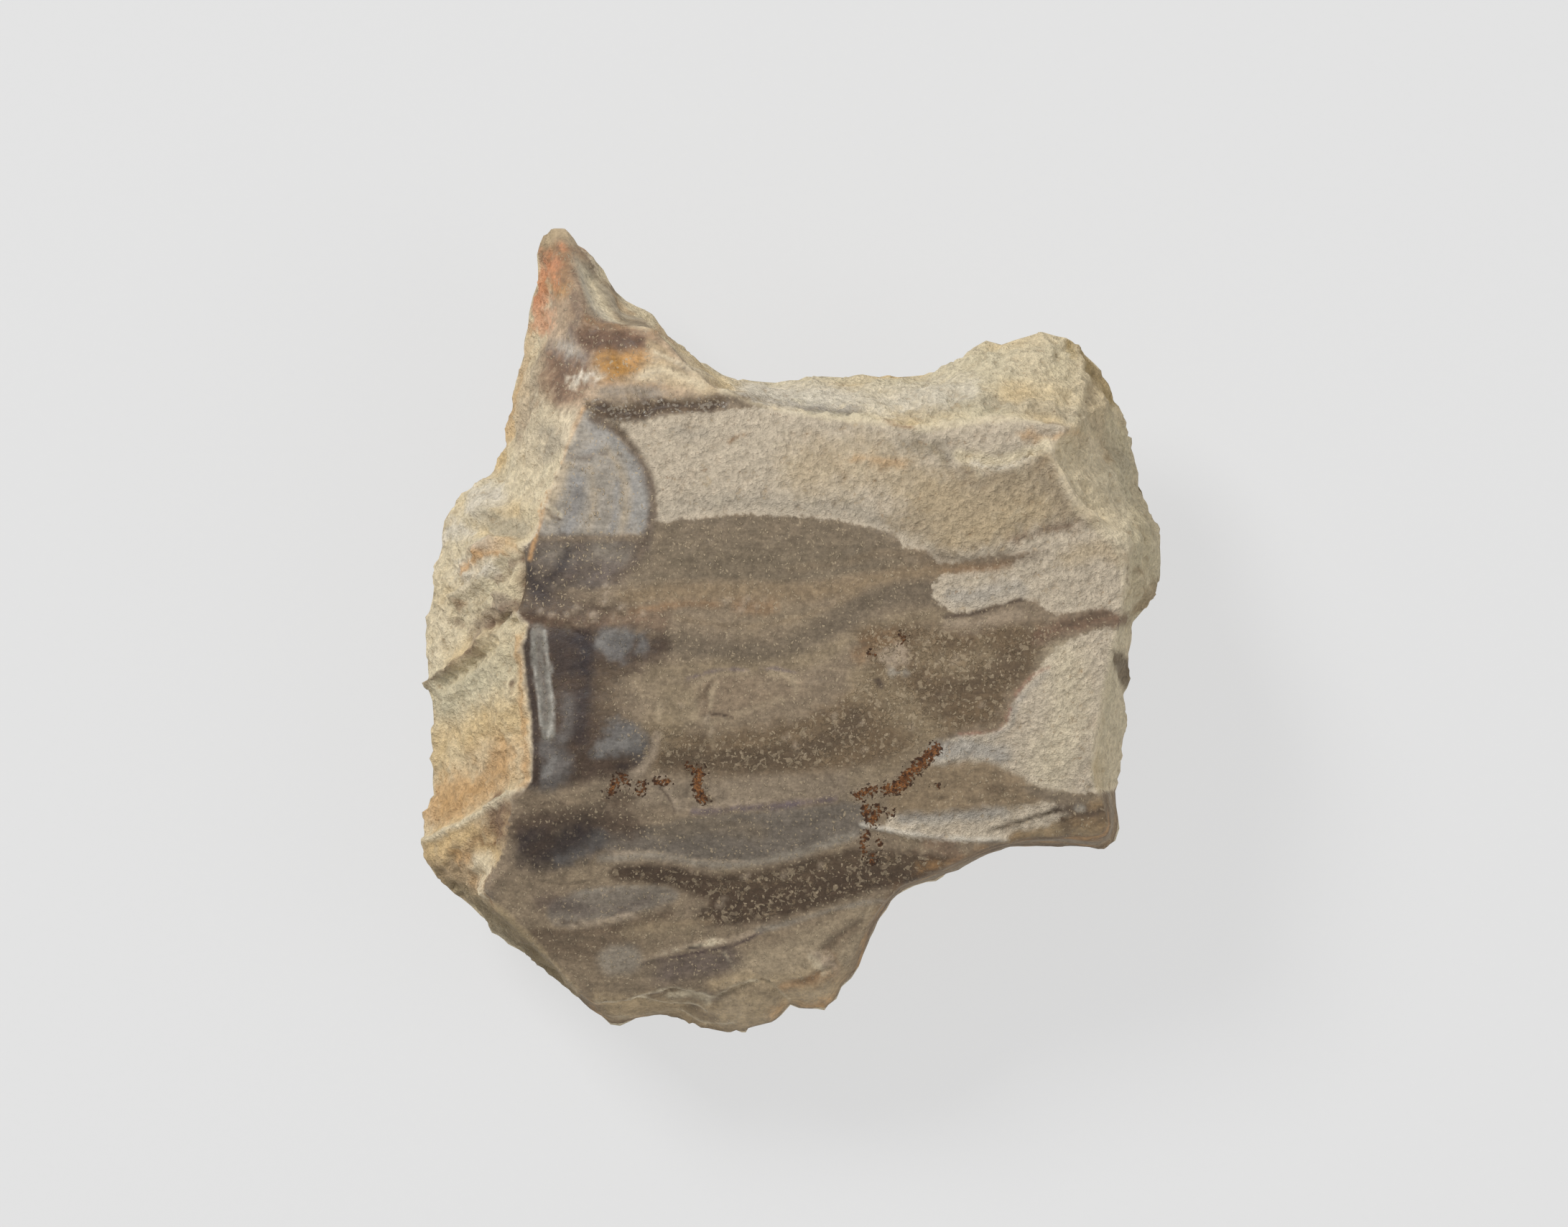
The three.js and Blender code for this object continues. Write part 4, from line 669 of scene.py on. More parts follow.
EDGE_PAINT = [
    patch("light_brown", [
        (-31.6, 48), (-30, 50.4), (-26.6, 50.4), (-24.4, 48), (-26, 45.6), (-28, 44.4), (-31.6, 44.6),
    ], 1.2, 0.9, 0.3),
    stroke("chalk_warm", 0.9, [(-30.2, 48.4), (-28.6, 49.4), (-27, 48.8)], 0.9, 0.7, 0.8),
    stroke("orange", 0.3, [(-25.4, 48), (-24.2, 46.8), (-23.4, 45.6)], 0.4, 0.4, 0.7),
    stroke("orange", 1.3, [(-30.2, 45.4), (-30.8, 42.6), (-31.2, 40), (-31, 38)], 0.9, 1.8, 0.7),
    stroke("ochre", 0.7, [(-32.6, 37), (-33.2, 33), (-33.8, 29), (-34.6, 26)], 0.9, 1.4, 0.5),
    stroke("cream", 1.0, [(-32, 35.6), (-32.6, 31), (-33.4, 27), (-34.8, 23.6)], 0.9, 1.4, 0.5),
    stroke("arc", 0.6, [
        (-24, 26), (-21.6, 24.7), (-19.3, 22.4), (-17.9, 19.8), (-17.1, 17.3), (-17, 15),
        (-17.4, 12.7), (-18.4, 10), (-19.7, 7.8), (-21.4, 6.4),
    ], 0.6, 0.4, 0.9),
    stroke("smoke", 0.5, [(-24.4, 26.4), (-22, 25.4), (-20.6, 24.4)], 0.6, 0.9, 0.6),
    # The low bevel along the lower left edge: darker olive, partly the flint's colour and partly painted
    # shade on a side that faces away from the light.
    patch("moss", [
        (-46.4, -28.6), (-42.4, -30.8), (-38.4, -32.9), (-35.4, -34.6), (-33, -37.2), (-31, -39.2),
        (-29, -41.6), (-27, -43.9), (-25, -46.2), (-22.3, -49.2), (-26, -48), (-36, -40),
        (-46.4, -31),
    ], 0.5, 0.4),
    stroke("edge_glass", 0.25, [
        (-45.6, -29.4), (-38.4, -33.2), (-35.2, -35), (-31, -39.4), (-25.4, -46),
    ], 0.4, 0.3, 0.5),
    # A pale line along the crest of the right-hand ridge: painted highlight.
    stroke("cream", 0.25, [
        (32.2, 22), (34.1, 17.4), (35.6, 14.5), (37.8, 12.4), (40.4, 10), (41.2, 6), (40.9, 2),
    ], 0.45, 0.3, 0.6),
    stroke("crust_yellow", 1.3, [(34.4, 22), (36.4, 18), (38.6, 14.4)], 1.4, 1.1, 0.6),
    stroke("cream", 0.25, [
        (40.3, 0), (39.6, -3.2), (39, -6), (38.4, -10), (37.8, -13.2), (37.4, -16.4), (37.7, -19.6),
    ], 0.5, 0.3, 0.6),
    stroke("cream", 1.2, [(41.4, -1.6), (40.6, -8), (39.8, -15), (39.8, -19)], 1.0, 0.8, 0.7),
    stroke("cream", 0.25, [(35.2, 36.5), (35.6, 33.2), (35.2, 29.1), (34.5, 25.2)], 0.5, 0.3, 0.6),
    stroke("chalk_warm", 1.6, [(37.6, 31.4), (38, 27), (38.6, 22)], 1.6, 1, 0.5),
    # The facet right of that ridge, which faces the light: paler, painted light.
    patch("cream", [
        (32.6, 22.6), (34.8, 24.4), (38, 23.2), (40.2, 19), (42, 14), (41.4, 10), (38.4, 12.4),
        (35.9, 14.8), (34.3, 18),
    ], 0.5, 0.4, 0.8),
    patch("smoke", [(39.9, -2.4), (42.4, -4.2), (41.9, -8), (40.8, -6.2), (39.9, -3.6)], 0.3, 0.3, 0.75),
    stroke("smoke", 0.5, [(-17.6, -45.6), (-14.6, -45.2), (-11.6, -45.8), (-9.8, -46.4)], 0.7, 0.6, 0.6),
    stroke("smoke", 0.5, [(-13, -46.8), (-11, -47.8), (-9.6, -48.2)], 0.7, 0.6, 0.5),
    stroke("grey_band", 0.6, [(-9, -46), (-6.4, -45), (-4, -44.6), (-2, -45.8)], 0.9, 0.6, 0.5),
    stroke("edge_glass", 0.6, [(-9.4, -44), (-7, -43.2), (-4.6, -43)], 0.8, 0.5, 0.7),
    stroke("cream", 0.5, [(-15, -45.6), (-12, -45.2), (-10.4, -46.2)], 0.4, 0.9, 0.6),
    stroke("umber", 0.12, [(-13.6, -46.2), (-12, -46.8), (-10, -47.4)], 0.2, 0.5, 0.7),
    stroke("cream", 0.09, [
        (-20, -45.8), (-16.5, -44.9), (-14.5, -44.4), (-12.4, -44.9), (-9.6, -45.7),
    ], 0.25, 0.3, 0.8),
    stroke("cream", 0.09, [(-9.6, -45.7), (-7.6, -44.6), (-5.8, -43.9), (-4.2, -43.6)], 0.25, 0.3, 0.8),
    stroke("cream", 0.08, [(-3, -43.4), (-1.2, -45), (0, -45.8)], 0.25, 0.3, 0.5),
    stroke("cream", 0.09, [
        (-24, -46.2), (-21.6, -46.2), (-18.4, -46), (-16, -46.2), (-12, -46.6), (-10.4, -47.3),
    ], 0.25, 0.4, 0.8),
    stroke("cream", 0.09, [
        (-24, -47.6), (-20, -48), (-16, -47.4), (-13.4, -47.4), (-11, -48.8), (-7.8, -48.9),
        (-6, -47.6),
    ], 0.25, 0.4, 0.6),
    stroke("cream", 0.08, [(-8.2, -40), (-7.2, -41.4), (-6.8, -42.4)], 0.25, 0.3, 0.5),
    stroke("cream", 0.3, [(2.6, -40.6), (3.4, -41.6), (4, -42.6)], 0.4, 0.8, 0.5),
    stroke("ochre", 0.4, [(-2.2, -47.8), (-0.4, -46.6), (1.6, -47), (4.6, -46.8)], 0.7, 1.0, 0.4),
    stroke("ochre", 0.4, [(16, -29.6), (20, -28.6), (24, -27.4)], 0.8, 1.3, 0.4),
    stroke("brown", 0.9, [(16.8, -25.9), (18.8, -26.6), (20.6, -27.8)], 0.8, 1.6, 0.5),
    stroke("light_brown", 0.4, [(13.4, -31.8), (11.4, -34.6), (9.8, -37.6)], 0.7, 0.7, 0.6),
    stroke("soot", 0.3, [(30.4, -26.7), (34.6, -26.6), (39, -26.9)], 0.5, 0.6, 0.7),
    stroke("chalk_grey", 0.45, [(35.6, -22), (36, -22)], 0.3, 0.2, 0.8),
]

FLINT_PAINT = MIDDLE_PAINT + PANEL_PAINT + FAN_PAINT + NEAR_PAINT + CHALK_PAINT + HORN_PAINT + EDGE_PAINT
SKIN_PAINT = CHALK_PAINT + HORN_PAINT + FLANK_PAINT + EDGE_PAINT

# Small knobs of crystal: place and radius.
CRYSTALS = [
    ((-7.9, 3.4), 0.5), ((-6.2, 2.3), 0.4), ((-5.5, 3.3), 0.55), ((-4.3, 2.9), 0.3),
    ((-3.2, 3.5), 0.35), ((-2, 2.5), 0.25), ((-7, 2.7), 0.25), ((-18.2, 1.9), 0.3),
    ((-20.9, 2.5), 0.5), ((-21.8, 1.7), 0.25), ((-24.6, 1.6), 0.45), ((-26.7, 2.4), 0.5),
    ((-27.6, 1.8), 0.3), ((-29.4, 1.9), 0.25), ((-30.9, 2.2), 0.3), ((-22.9, 5.2), 0.4),
    ((-22.8, 4.3), 0.45), ((-22.9, 3.2), 0.5), ((3.2, -40.2), 0.35), ((4.5, -40.9), 0.5),
    ((5.2, -41.5), 0.25), ((12.1, -2.5), 0.5), ((13.3, -3.6), 0.4), ((11.2, -3.4), 0.3),
    ((0.6, -14.4), 0.4), ((5.4, -10.6), 0.35), ((8.8, -11.7), 0.3), ((-0.6, -13.2), 0.25),
    ((16.9, -5.8), 0.4), ((20.2, -3.6), 0.35), ((23.6, -9.4), 0.35), ((18.8, -7.9), 0.3),
    ((-13.6, -9.6), 0.25), ((-9.8, -12.6), 0.3), ((-10.3, -11), 0.25), ((14.6, -12.2), 0.35),
    ((9.1, -15.1), 0.3), ((-5.4, -30.6), 0.35), ((-0.8, -30.4), 0.3), ((3.6, -29.2), 0.25),
    ((-8.6, -33.8), 0.45), ((-12.4, -30.2), 0.25), ((-29, -36), 0.3),
]

# The near edge, where the stone runs out thin and has no crust.
THIN_EDGE = [
    (26.5, -25.6), (33, -24.6), (38, -20.6), (40, -19.8), (46, -19), (46, -30), (28.4, -30),
    (16, -34), (12, -44), (3, -51), (-10, -52), (-24, -52), (-26.6, -45.6), (-20, -44),
    (0, -42), (8, -32), (16, -28),
]

# ---- the carved surface: what stands proud of the stone or is sunk into it, in mm ----
# A crease is a line with a height and a half width. A ledge is a line with a drop to the right of
# the way that it is drawn, and the reach over which the drop fades. A knob is a point with a
# height and a radius.

CREASES = [
    (-0.5, 0.8, DRUSE),
    (0.7, 1.3, [(-28.5, 49), (-27.8, 46), (-26.4, 42.5), (-25.4, 38.4)]),
    (-0.9, 2.2, [(-24, 43.4), (-22.6, 40.8), (-20, 39.2)]),
    (0.35, 0.5, [(-25.3, 37.6), (-20, 37.9), (-16.4, 36.8)]),
    (-0.22, 0.7, [(-31, 33.6), (-31.9, 30), (-33, 26.2), (-34.2, 23.6)]),
    (-0.35, 0.3, [(-33.7, 10.4), (-33.3, 8), (-33.2, 6), (-34, 3.4)]),
    (0.9, 0.6, [(-37, -0.5), (-39.4, -2.6), (-40.6, -3.7), (-42, -4.8), (-44, -6), (-45.7, -7.2)]),
    (-0.8, 0.9, [(-36.4, -1.4), (-39.4, -4.2), (-43, -7)]),
    (0.7, 0.7, [(-34.5, -9.4), (-36.8, -15), (-38.4, -18.4)]),
    (1.0, 0.8, [(-34, -20.4), (-38, -22.7), (-42, -25.1), (-45.6, -26.4)]),
    (-0.25, 0.7, [(4, -39.6), (6, -38.2), (8.8, -36)]),
    (-0.18, 0.4, [(-8, -39.4), (-6.6, -42.6), (-4, -43.2)]),
    (-0.25, 0.3, [(25, -24.7), (29, -23.5), (33.4, -22.2)]),
    (0.35, 0.5, [(9, -24), (14, -24.9), (20, -25.5), (27, -25.8)]),
    (0.1, 0.4, [(-27.2, -36.8), (-23, -36.1), (-19.5, -35.2)]),
    (0.12, 0.5, [(-18, -40.8), (-14, -39.5), (-8, -38.5), (-4, -37.4)]),
    (-0.3, 0.35, [(36.4, 16), (37.4, 14.4)]),
    (0.5, 0.6, [(37, 13.7), (40.7, 12.3), (42.2, 7.5), (43.4, 4.4)]),
    (0.4, 0.5, [(35.6, 36), (35.6, 32), (36.2, 29.4), (34.8, 26.4)]),
    (-0.2, 0.25, [(34.4, -10.4), (35.1, -11)]),
    (1.1, 0.8, [(-41.5, 4.2), (-39, 5.6), (-37.5, 6.7), (-36, 8.7), (-34.6, 9.7)]),
    (0.8, 0.7, [(-38.2, 9.6), (-37.4, 10.8), (-35.6, 11.2), (-34, 10.8)]),
    (0.7, 0.6, [(-43.9, 3.4), (-42.6, 2.8), (-42, 1.4)]),
    (0.6, 0.7, [(-39.6, 13.6), (-38, 14.4), (-36.4, 14.4)]),
    (-0.5, 0.9, [(-39.4, 12.4), (-37.2, 12.2), (-35, 12.8)]),
    (-0.4, 0.8, [(-39, 4), (-36.8, 5), (-35.2, 7)]),
    (0.7, 0.6, [(-36.6, 4.6), (-35.2, 4.4), (-34.2, 5.6)]),
    (-0.6, 0.5, [
        (-33.3, 9.6), (-33.1, 8), (-33.2, 6.2), (-33.4, 4.4), (-34.2, 2.6), (-36, 0.8),
        (-37, -0.5),
    ]),
    (-0.4, 0.7, [(-42.4, 7.6), (-41.6, 6), (-42.2, 4.6)]),
    (0.6, 0.6, [(32, 22.4), (33.8, 18.4), (35.4, 15.2), (37.6, 13.2), (40.4, 10.6)]),
    (-0.25, 0.5, [(-26.4, 28), (-28.4, 31), (-29.4, 34.4)]),
]
LEDGES = [
    (1.2, 3.2, [(32, 22.2), (29.7, 21.2), (26.8, 19.9), (24.2, 19.7), (21.6, 20.7), (19.6, 21.6)]),
    (0.5, 1.6, [(-33.6, 11), (-36, 8.6), (-39, 6.5), (-41.6, 4.4)]),
    (0.6, 1.6, [(-20, -45.8), (-16.5, -44.9), (-14.5, -44.4), (-12.4, -44.9), (-9.6, -45.7)]),
    (0.6, 1.6, [(-9.6, -45.7), (-7.6, -44.6), (-5.8, -43.9), (-3, -43.4), (-1.2, -45), (0, -45.8)]),
    (0.6, 1.4, [(-24, -46.2), (-21.6, -46.2), (-18.4, -46), (-16, -46.2), (-12, -46.6), (-10.4, -47.3)]),
    (0.5, 1.2, [(-16, -47.4), (-13.4, -47.4), (-11, -48.8), (-7.8, -48.9)]),
    (0.4, 1.8, [(-2, -43.6), (1.6, -43.2), (4, -42), (6.4, -40.8)]),
    (0.3, 0.9, [(2.6, -40.2), (3.4, -41.6), (4, -42.8)]),
    (0.25, 1.2, [(22.6, -0.6), (23.4, -2.4), (25.4, -1.6), (26.6, -2.8), (28.4, -2.2)]),
    (0.22, 1.0, [(13.4, -6.4), (15.4, -7.6), (15.2, -10), (17, -11.6)]),
    (0.25, 1.0, [(18.6, -10.6), (20.6, -9.6), (21, -7.6)]),
    (0.2, 1.0, [(-12.4, -38.2), (-7, -37.4), (0, -36.2), (7, -34.2)]),
    (0.25, 0.9, [(10.4, -18), (12, -17.2), (12.6, -15.2)]),
    (0.3, 1.0, [(20.6, -18.6), (20.4, -20.6), (17.6, -21.6)]),
    (0.25, 1.0, [(26.6, -20.4), (26, -21.4), (22.6, -21.6)]),
    (0.3, 1.4, [(-32.5, -30.6), (-28, -31.4), (-24.6, -30.8)]),
    (0.35, 1.2, [(-18.6, 34.4), (-17.2, 33.4), (-14.8, 33.4), (-12.6, 32.4)]),
]
KNOBS = [
    (1.0, 2.4, (-37.8, 15.6)),
    (-0.9, 2.2, (-34.8, 12.9)),
    (0.6, 1.8, (-37.4, 9.2)),
    (0.8, 1.1, (-38.5, -28.6)),
    (0.7, 1.2, (-37.2, -31.6)),
    (-0.8, 0.6, (-38.1, -30.4)),
    (-0.5, 0.35, (22.8, 1.1)),
    (-0.35, 0.6, (-11, -8.6)),
    (-0.3, 0.4, (-37.6, 1.6)),
    (-0.6, 0.5, (-39.2, 0.2)),
    (-0.35, 0.45, (26.2, -11.4)),
    (-0.3, 0.35, (37.8, 19.6)),
    (-0.3, 0.35, (16.2, 11.8)),
    (0.3, 0.5, (-26, 31.2)),
    (0.25, 0.5, (16.2, -4.2)),
    (0.25, 0.4, (19.2, -6.3)),
    (0.2, 0.5, (-28.8, 33.6)),
    (-0.6, 0.8, (-41.2, 0.9)),
    (-0.8, 0.7, (-37.4, 0.9)),
    (-0.5, 0.6, (-38.7, 9.2)),
    (0.5, 0.9, (-39.6, 6.8)),
    (-0.4, 0.5, (-40.1, -1.2)),
    (-0.5, 0.6, (-42.8, -2.6)),
    (-0.18, 2.6, (-20.6, -42.4)),
]


# The ridge round the struck face. Outside it the stone still has its crust.
FACE_EDGE = [
    (-34.2, -20.8), (-32, -18.6), (-31.9, -12), (-32.6, -6), (-33, -2), (-32.3, 0.8),
    (-34, 2.3), (-33, 6), (-33.4, 9.6), (-31.8, 11.5), (-30.4, 15), (-28.8, 19), (-27.8, 23),
    (-28.6, 27), (-30.4, 34), (-29.8, 40), (-29.4, 46), (-28.4, 49.4), (-26.4, 47.8), (-24, 45),
    (-20, 40.6), (-16.6, 37), (-14.5, 34.6), (-12.3, 32.2), (-9.5, 30),
    (-6, 28.8), (-2, 27.5), (2, 26.6), (7, 25.9), (12, 25.5), (16, 24.7), (20, 25),
    (24, 25.9), (30, 25.8), (34.3, 25), (32.4, 21.8), (33.8, 18.3), (35.5, 15), (37.5, 13.3),
    (40.6, 12), (41.5, 9.5), (41.3, 5), (40.9, 1.5), (39.9, -1.5), (38.9, -6), (38.3, -10),
    (37.6, -14), (37.3, -18), (38.6, -21), (39.3, -24), (38.3, -25.6), (34, -25.3),
    (29, -25.6), (25, -26.6), (21, -28.4), (17, -30.2), (13.6, -31.6), (11.2, -34.2),
    (9.2, -37.5), (8.4, -41), (6.2, -44.4), (4, -46.6), (0, -46.4), (-3, -48.8), (-8, -49.6),
    (-12, -49.2), (-16, -48), (-20, -48.4), (-24, -46.4), (-27, -44), (-30, -41),
    (-33, -38.2), (-36.2, -34.8), (-37.6, -31.5), (-35.6, -27.5), (-34.6, -24),
]

# The part of that ridge where the crust ends in a firm line instead of crumbs.
PANEL_RIM = [(-34, -20.4), (-32, -18.6), (-31.9, -12), (-32.6, -6), (-33, -2), (-32.6, 0.8)]

# Shallow scars on the sides and the underside: a place on the surface, a radius and a depth, in
# mm, and how much of the crust the blow took off, from 0 to 1.
SCARS = [
    ((30, -22, 4), 13, 1.2, 0.9),
    ((-34, -24, 8), 12, 1.0, 0.0),
    ((-12, -40, 12), 13, 1.2, 0.85),
    ((12, 30, 12), 14, 1.1, 0.0),
    ((-30, 18, 10), 12, 1.0, 0.0),
    ((41, 4, 12), 10, 0.9, 0.0),
    ((-41, -8, 12), 9, 0.7, 0.0),
    ((-24, 36, 22), 8, 0.7, 0.4),
    ((2, -28, 4), 9, 0.8, 0.3),
]

# Patches on the underside.
UNDER_PAINT = [
    patch("crust_yellow", [
        (-30, -10), (-34, 6), (-24, 18), (-10, 22), (0, 28), (8, 22), (-4, 12), (-16, 0),
    ], 3, 3, 0.6),
    patch("crust_green", [(8, -6), (26, -10), (38, 2), (34, 18), (18, 24), (10, 10)], 3, 3, 0.6),
    patch("ochre", [(-14, 6), (-4, 10), (2, 4), (-2, -6), (-10, -4)], 2, 2.6, 0.5),
    patch("haze", [(-6, -14), (4, -12), (10, -18), (4, -24), (-6, -22)], 2, 2.4, 0.5),
    stroke("light_brown", 0.8, [(-28, 22), (-14, 14), (-2, 16), (12, 8), (24, 10)], 1.2, 2, 0.6),
    stroke("chalk_grey", 2.2, [(16, -12), (8, -2), (10, 14)], 2, 2.4, 0.6),
    stroke("earth", 1.4, [(-36, -14), (-26, -22), (-16, -22)], 1.6, 2, 0.5),
    stroke("white", 1.8, [(20, 16), (28, 8), (30, -2)], 2, 2, 0.5),
]

# ---- measuring from drawn lines ----


def curve_through(points, closed=False, steps=4):
    """Points along a smooth curve through the given ones."""
    p = np.array(points, float)
    count = len(p)
    spans = count if closed else count - 1
    if count < 3:
        return p
    around = (lambda i: p[i % count]) if closed else (lambda i: p[min(max(i, 0), count - 1)])
    made = []
    for i in range(spans):
        a, b, c, d = around(i - 1), around(i), around(i + 1), around(i + 2)
        for t in np.arange(steps) / steps:
            made.append(
                b + 0.5 * t * (c - a + t * (2 * a - 5 * b + 4 * c - d + t * (3 * (b - c) + d - a)))
            )
    if not closed:
        made.append(p[-1])
    return np.array(made)


def line_distance(xy, line, closed=False):
    """Distance from each place to a line, and the side of it: 1 to its left and -1 to its right."""
    best = np.full(len(xy), np.inf)
    side = np.ones(len(xy))
    ends = np.roll(line, -1, axis=0) if closed else line[1:]
    for a, b in zip(line, ends):
        along = b - a
        share = np.clip((xy - a) @ along / (along @ along), 0, 1)
        off = xy - a - share[:, None] * along
        distance = np.hypot(off[:, 0], off[:, 1])
        nearer = distance < best
        best[nearer] = distance[nearer]
        cross = along[0] * off[:, 1] - along[1] * off[:, 0]
        side[nearer] = np.where(cross[nearer] >= 0, 1.0, -1.0)
    return best, side


def inside(xy, outline):
    """Whether each place is inside a closed outline."""
    within = np.zeros(len(xy), bool)
    for (ax, ay), (bx, by) in zip(outline, np.roll(outline, -1, axis=0)):
        if ay == by:
            continue
        crosses = (ay > xy[:, 1]) != (by > xy[:, 1])
        within ^= crosses & (xy[:, 0] < (bx - ax) * (xy[:, 1] - ay) / (by - ay) + ax)
    return within


def depth_in(xy, mark):
    """How deep each place lies inside a patch or a stroke, in mm. It is negative outside."""
    if mark["width"] is None:
        outline = curve_through(mark["points"], closed=True)
        distance, _ = line_distance(xy, outline, closed=True)
        return np.where(inside(xy, outline), distance, -distance)
    distance, _ = line_distance(xy, curve_through(mark["points"]))
    return mark["width"] - distance


def smoothstep(value, low, high):
    t = np.clip((value - low) / (high - low), 0, 1)
    return t * t * (3 - 2 * t)


# ---- noise ----

GRADIENTS = np.random.default_rng(11).normal(size=(256, 3))
GRADIENTS /= np.linalg.norm(GRADIENTS, axis=1)[:, None]
SHUFFLE = np.random.default_rng(12).permutation(256)


def gradient_noise(p):
    """Smooth noise, about -0.7 to 0.7, with cells of size 1."""
    cell = np.floor(p).astype(int)
    f = p - cell
    ease = f * f * f * (f * (f * 6 - 15) + 10)
    total = np.zeros(len(p))
    for corner in np.ndindex(2, 2, 2):
        at = (cell + corner) & 255
        mixed = SHUFFLE[(SHUFFLE[(SHUFFLE[at[:, 0]] + at[:, 1]) & 255] + at[:, 2]) & 255]
        weight = np.prod(np.where(corner, ease, 1 - ease), axis=1)
        total += weight * np.einsum("ij,ij->i", GRADIENTS[mixed], f - corner)
    return total


def rough(p, size, octaves=3, seed=0):
    """Layered noise, about -1 to 1, with features of the given size in mm."""
    total = np.zeros(len(p))
    for octave in range(octaves):
        total += gradient_noise(p / size * 2**octave + 17.3 * (seed + octave)) * 0.55**octave
    return total * 1.4


# ---- the stone's mesh ----

MERGE_GAP = 0.01 * MM
SHARP_EDGE = math.radians(15)
RIDGE_SOFTNESS = 0.12  # how much of the smoothing a sharp edge takes
# The longest triangle sides, in mm, for how far up the stone faces.
SPACING = [(0.7, 0.57), (0.3, 0.7), (-0.1, 1.2), (-1.1, 2.0)]
REFINING_PASSES = 9
EVENING_PASSES = 6
EVENING_ANGLE = math.radians(8)
SMOOTHING_PASSES = 22


def select_only(obj):
    bpy.ops.object.select_all(action="DESELECT")
    obj.select_set(True)
    bpy.context.view_layer.objects.active = obj


def copy_of_node(node, name):
    """A merged copy of a CAD node, as an object of its own."""
    select_only(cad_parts[node])
    bpy.ops.object.duplicate()
    copy = bpy.context.object
    copy.name = copy.data.name = name
    copy.parent = None
    copy.data.materials.clear()
    bpy.ops.object.mode_set(mode="EDIT")
    bpy.ops.mesh.select_all(action="SELECT")
    bpy.ops.mesh.remove_doubles(threshold=MERGE_GAP)
    bpy.ops.mesh.customdata_custom_splitnormals_clear()
    bpy.ops.object.mode_set(mode="OBJECT")
    return copy


def mark_ridges(stone):
    """Makes the group "soft", which lets smoothing move the sharp edges only a little."""
    select_only(stone)
    bpy.ops.object.mode_set(mode="EDIT")
    bpy.ops.mesh.select_mode(type="EDGE")
    bpy.ops.mesh.select_all(action="DESELECT")
    bpy.ops.mesh.edges_select_sharp(sharpness=SHARP_EDGE)
    bpy.ops.object.mode_set(mode="OBJECT")
    soft = stone.vertex_groups.new(name="soft")
    for vertex in stone.data.vertices:
        soft.add([vertex.index], RIDGE_SOFTNESS if vertex.select else 1.0, "REPLACE")


def read(items, name, width=1, kind=float):
    values = np.empty(len(items) * width, kind)
    items.foreach_get(name, values)
    return values.reshape(-1, width) if width > 1 else values


def refine(stone):
    """Splits the triangle sides that are too long for their side of the stone."""
    for turn in range(REFINING_PASSES):
        mesh = stone.data
        ends = read(mesh.edges, "vertices", 2, np.int32)
        p = read(mesh.vertices, "co", 3) / MM
        up = read(mesh.vertices, "normal", 3)[ends, 2].mean(axis=1)
        limit = np.select([up > least for least, _ in SPACING], [side for _, side in SPACING])
        long = np.linalg.norm(p[ends[:, 0]] - p[ends[:, 1]], axis=1) > limit
        if not long.any():
            break
        select_only(stone)
        bpy.ops.object.mode_set(mode="EDIT")
        bpy.ops.mesh.select_mode(type="EDGE")
        bpy.ops.mesh.select_all(action="DESELECT")
        bpy.ops.object.mode_set(mode="OBJECT")
        mesh.edges.foreach_set("select", long)
        bpy.ops.object.mode_set(mode="EDIT")
        bpy.ops.mesh.subdivide(number_cuts=1, ngon=False)
        bpy.ops.mesh.select_all(action="SELECT")
        bpy.ops.mesh.quads_convert_to_tris()
        if turn < EVENING_PASSES:
            bpy.ops.mesh.beautify_fill(angle_limit=EVENING_ANGLE)
        bpy.ops.object.mode_set(mode="OBJECT")


def apply_modifier(stone, kind, **settings):
    select_only(stone)
    modifier = stone.modifiers.new(kind.title(), kind)
    for name, value in settings.items():
        setattr(modifier, name, value)
    bpy.ops.object.modifier_apply(modifier=modifier.name)


def build_stone():
    stone = copy_of_node(NODE, "flint_stone")
    mark_ridges(stone)
    refine(stone)
    apply_modifier(stone, "SMOOTH", factor=0.5, iterations=SMOOTHING_PASSES, vertex_group="soft")
    return stone


# Heights above the floor, in mm, between which the relief grows to its full depth.
RELIEF_STARTS, RELIEF_FULL = 0.15, 1.6
# A face that points up less than this belongs to the underside.
UNDERSIDE = 0.05
# A scar that lost more of its crust than this shows flint with a torn edge.
MOSTLY = 0.5
FAR_OFF = 9.0  # mm, deeper or farther than any blend between finishes reaches


def outside_face(xy, up):
    """How far each place lies outside the struck face, in mm. The crust begins there."""
    edge = curve_through(FACE_EDGE, closed=True, steps=2)
    from_edge, _ = line_distance(xy, edge, closed=True)
    outside = np.where(inside(xy, edge), -from_edge, from_edge)
    outside = np.where(up < UNDERSIDE, np.maximum(outside, 4), outside)
    thin = depth_in(xy, patch("flint", THIN_EDGE))
    return np.where(up < -0.25, outside, np.minimum(outside, -thin))


def depth_of_chalk(xy, up):
    """How deep each place lies inside the chalk on the struck face, in mm."""
    depth = np.full(len(xy), -FAR_OFF)
    for outline in (FAR_CHALK, RIGHT_CHALK, NEAR_CHALK, NEAR_STRIP):
        depth = np.maximum(depth, depth_in(xy, patch("chalk", outline)))
    return np.where(up > UNDERSIDE, depth, -FAR_OFF)


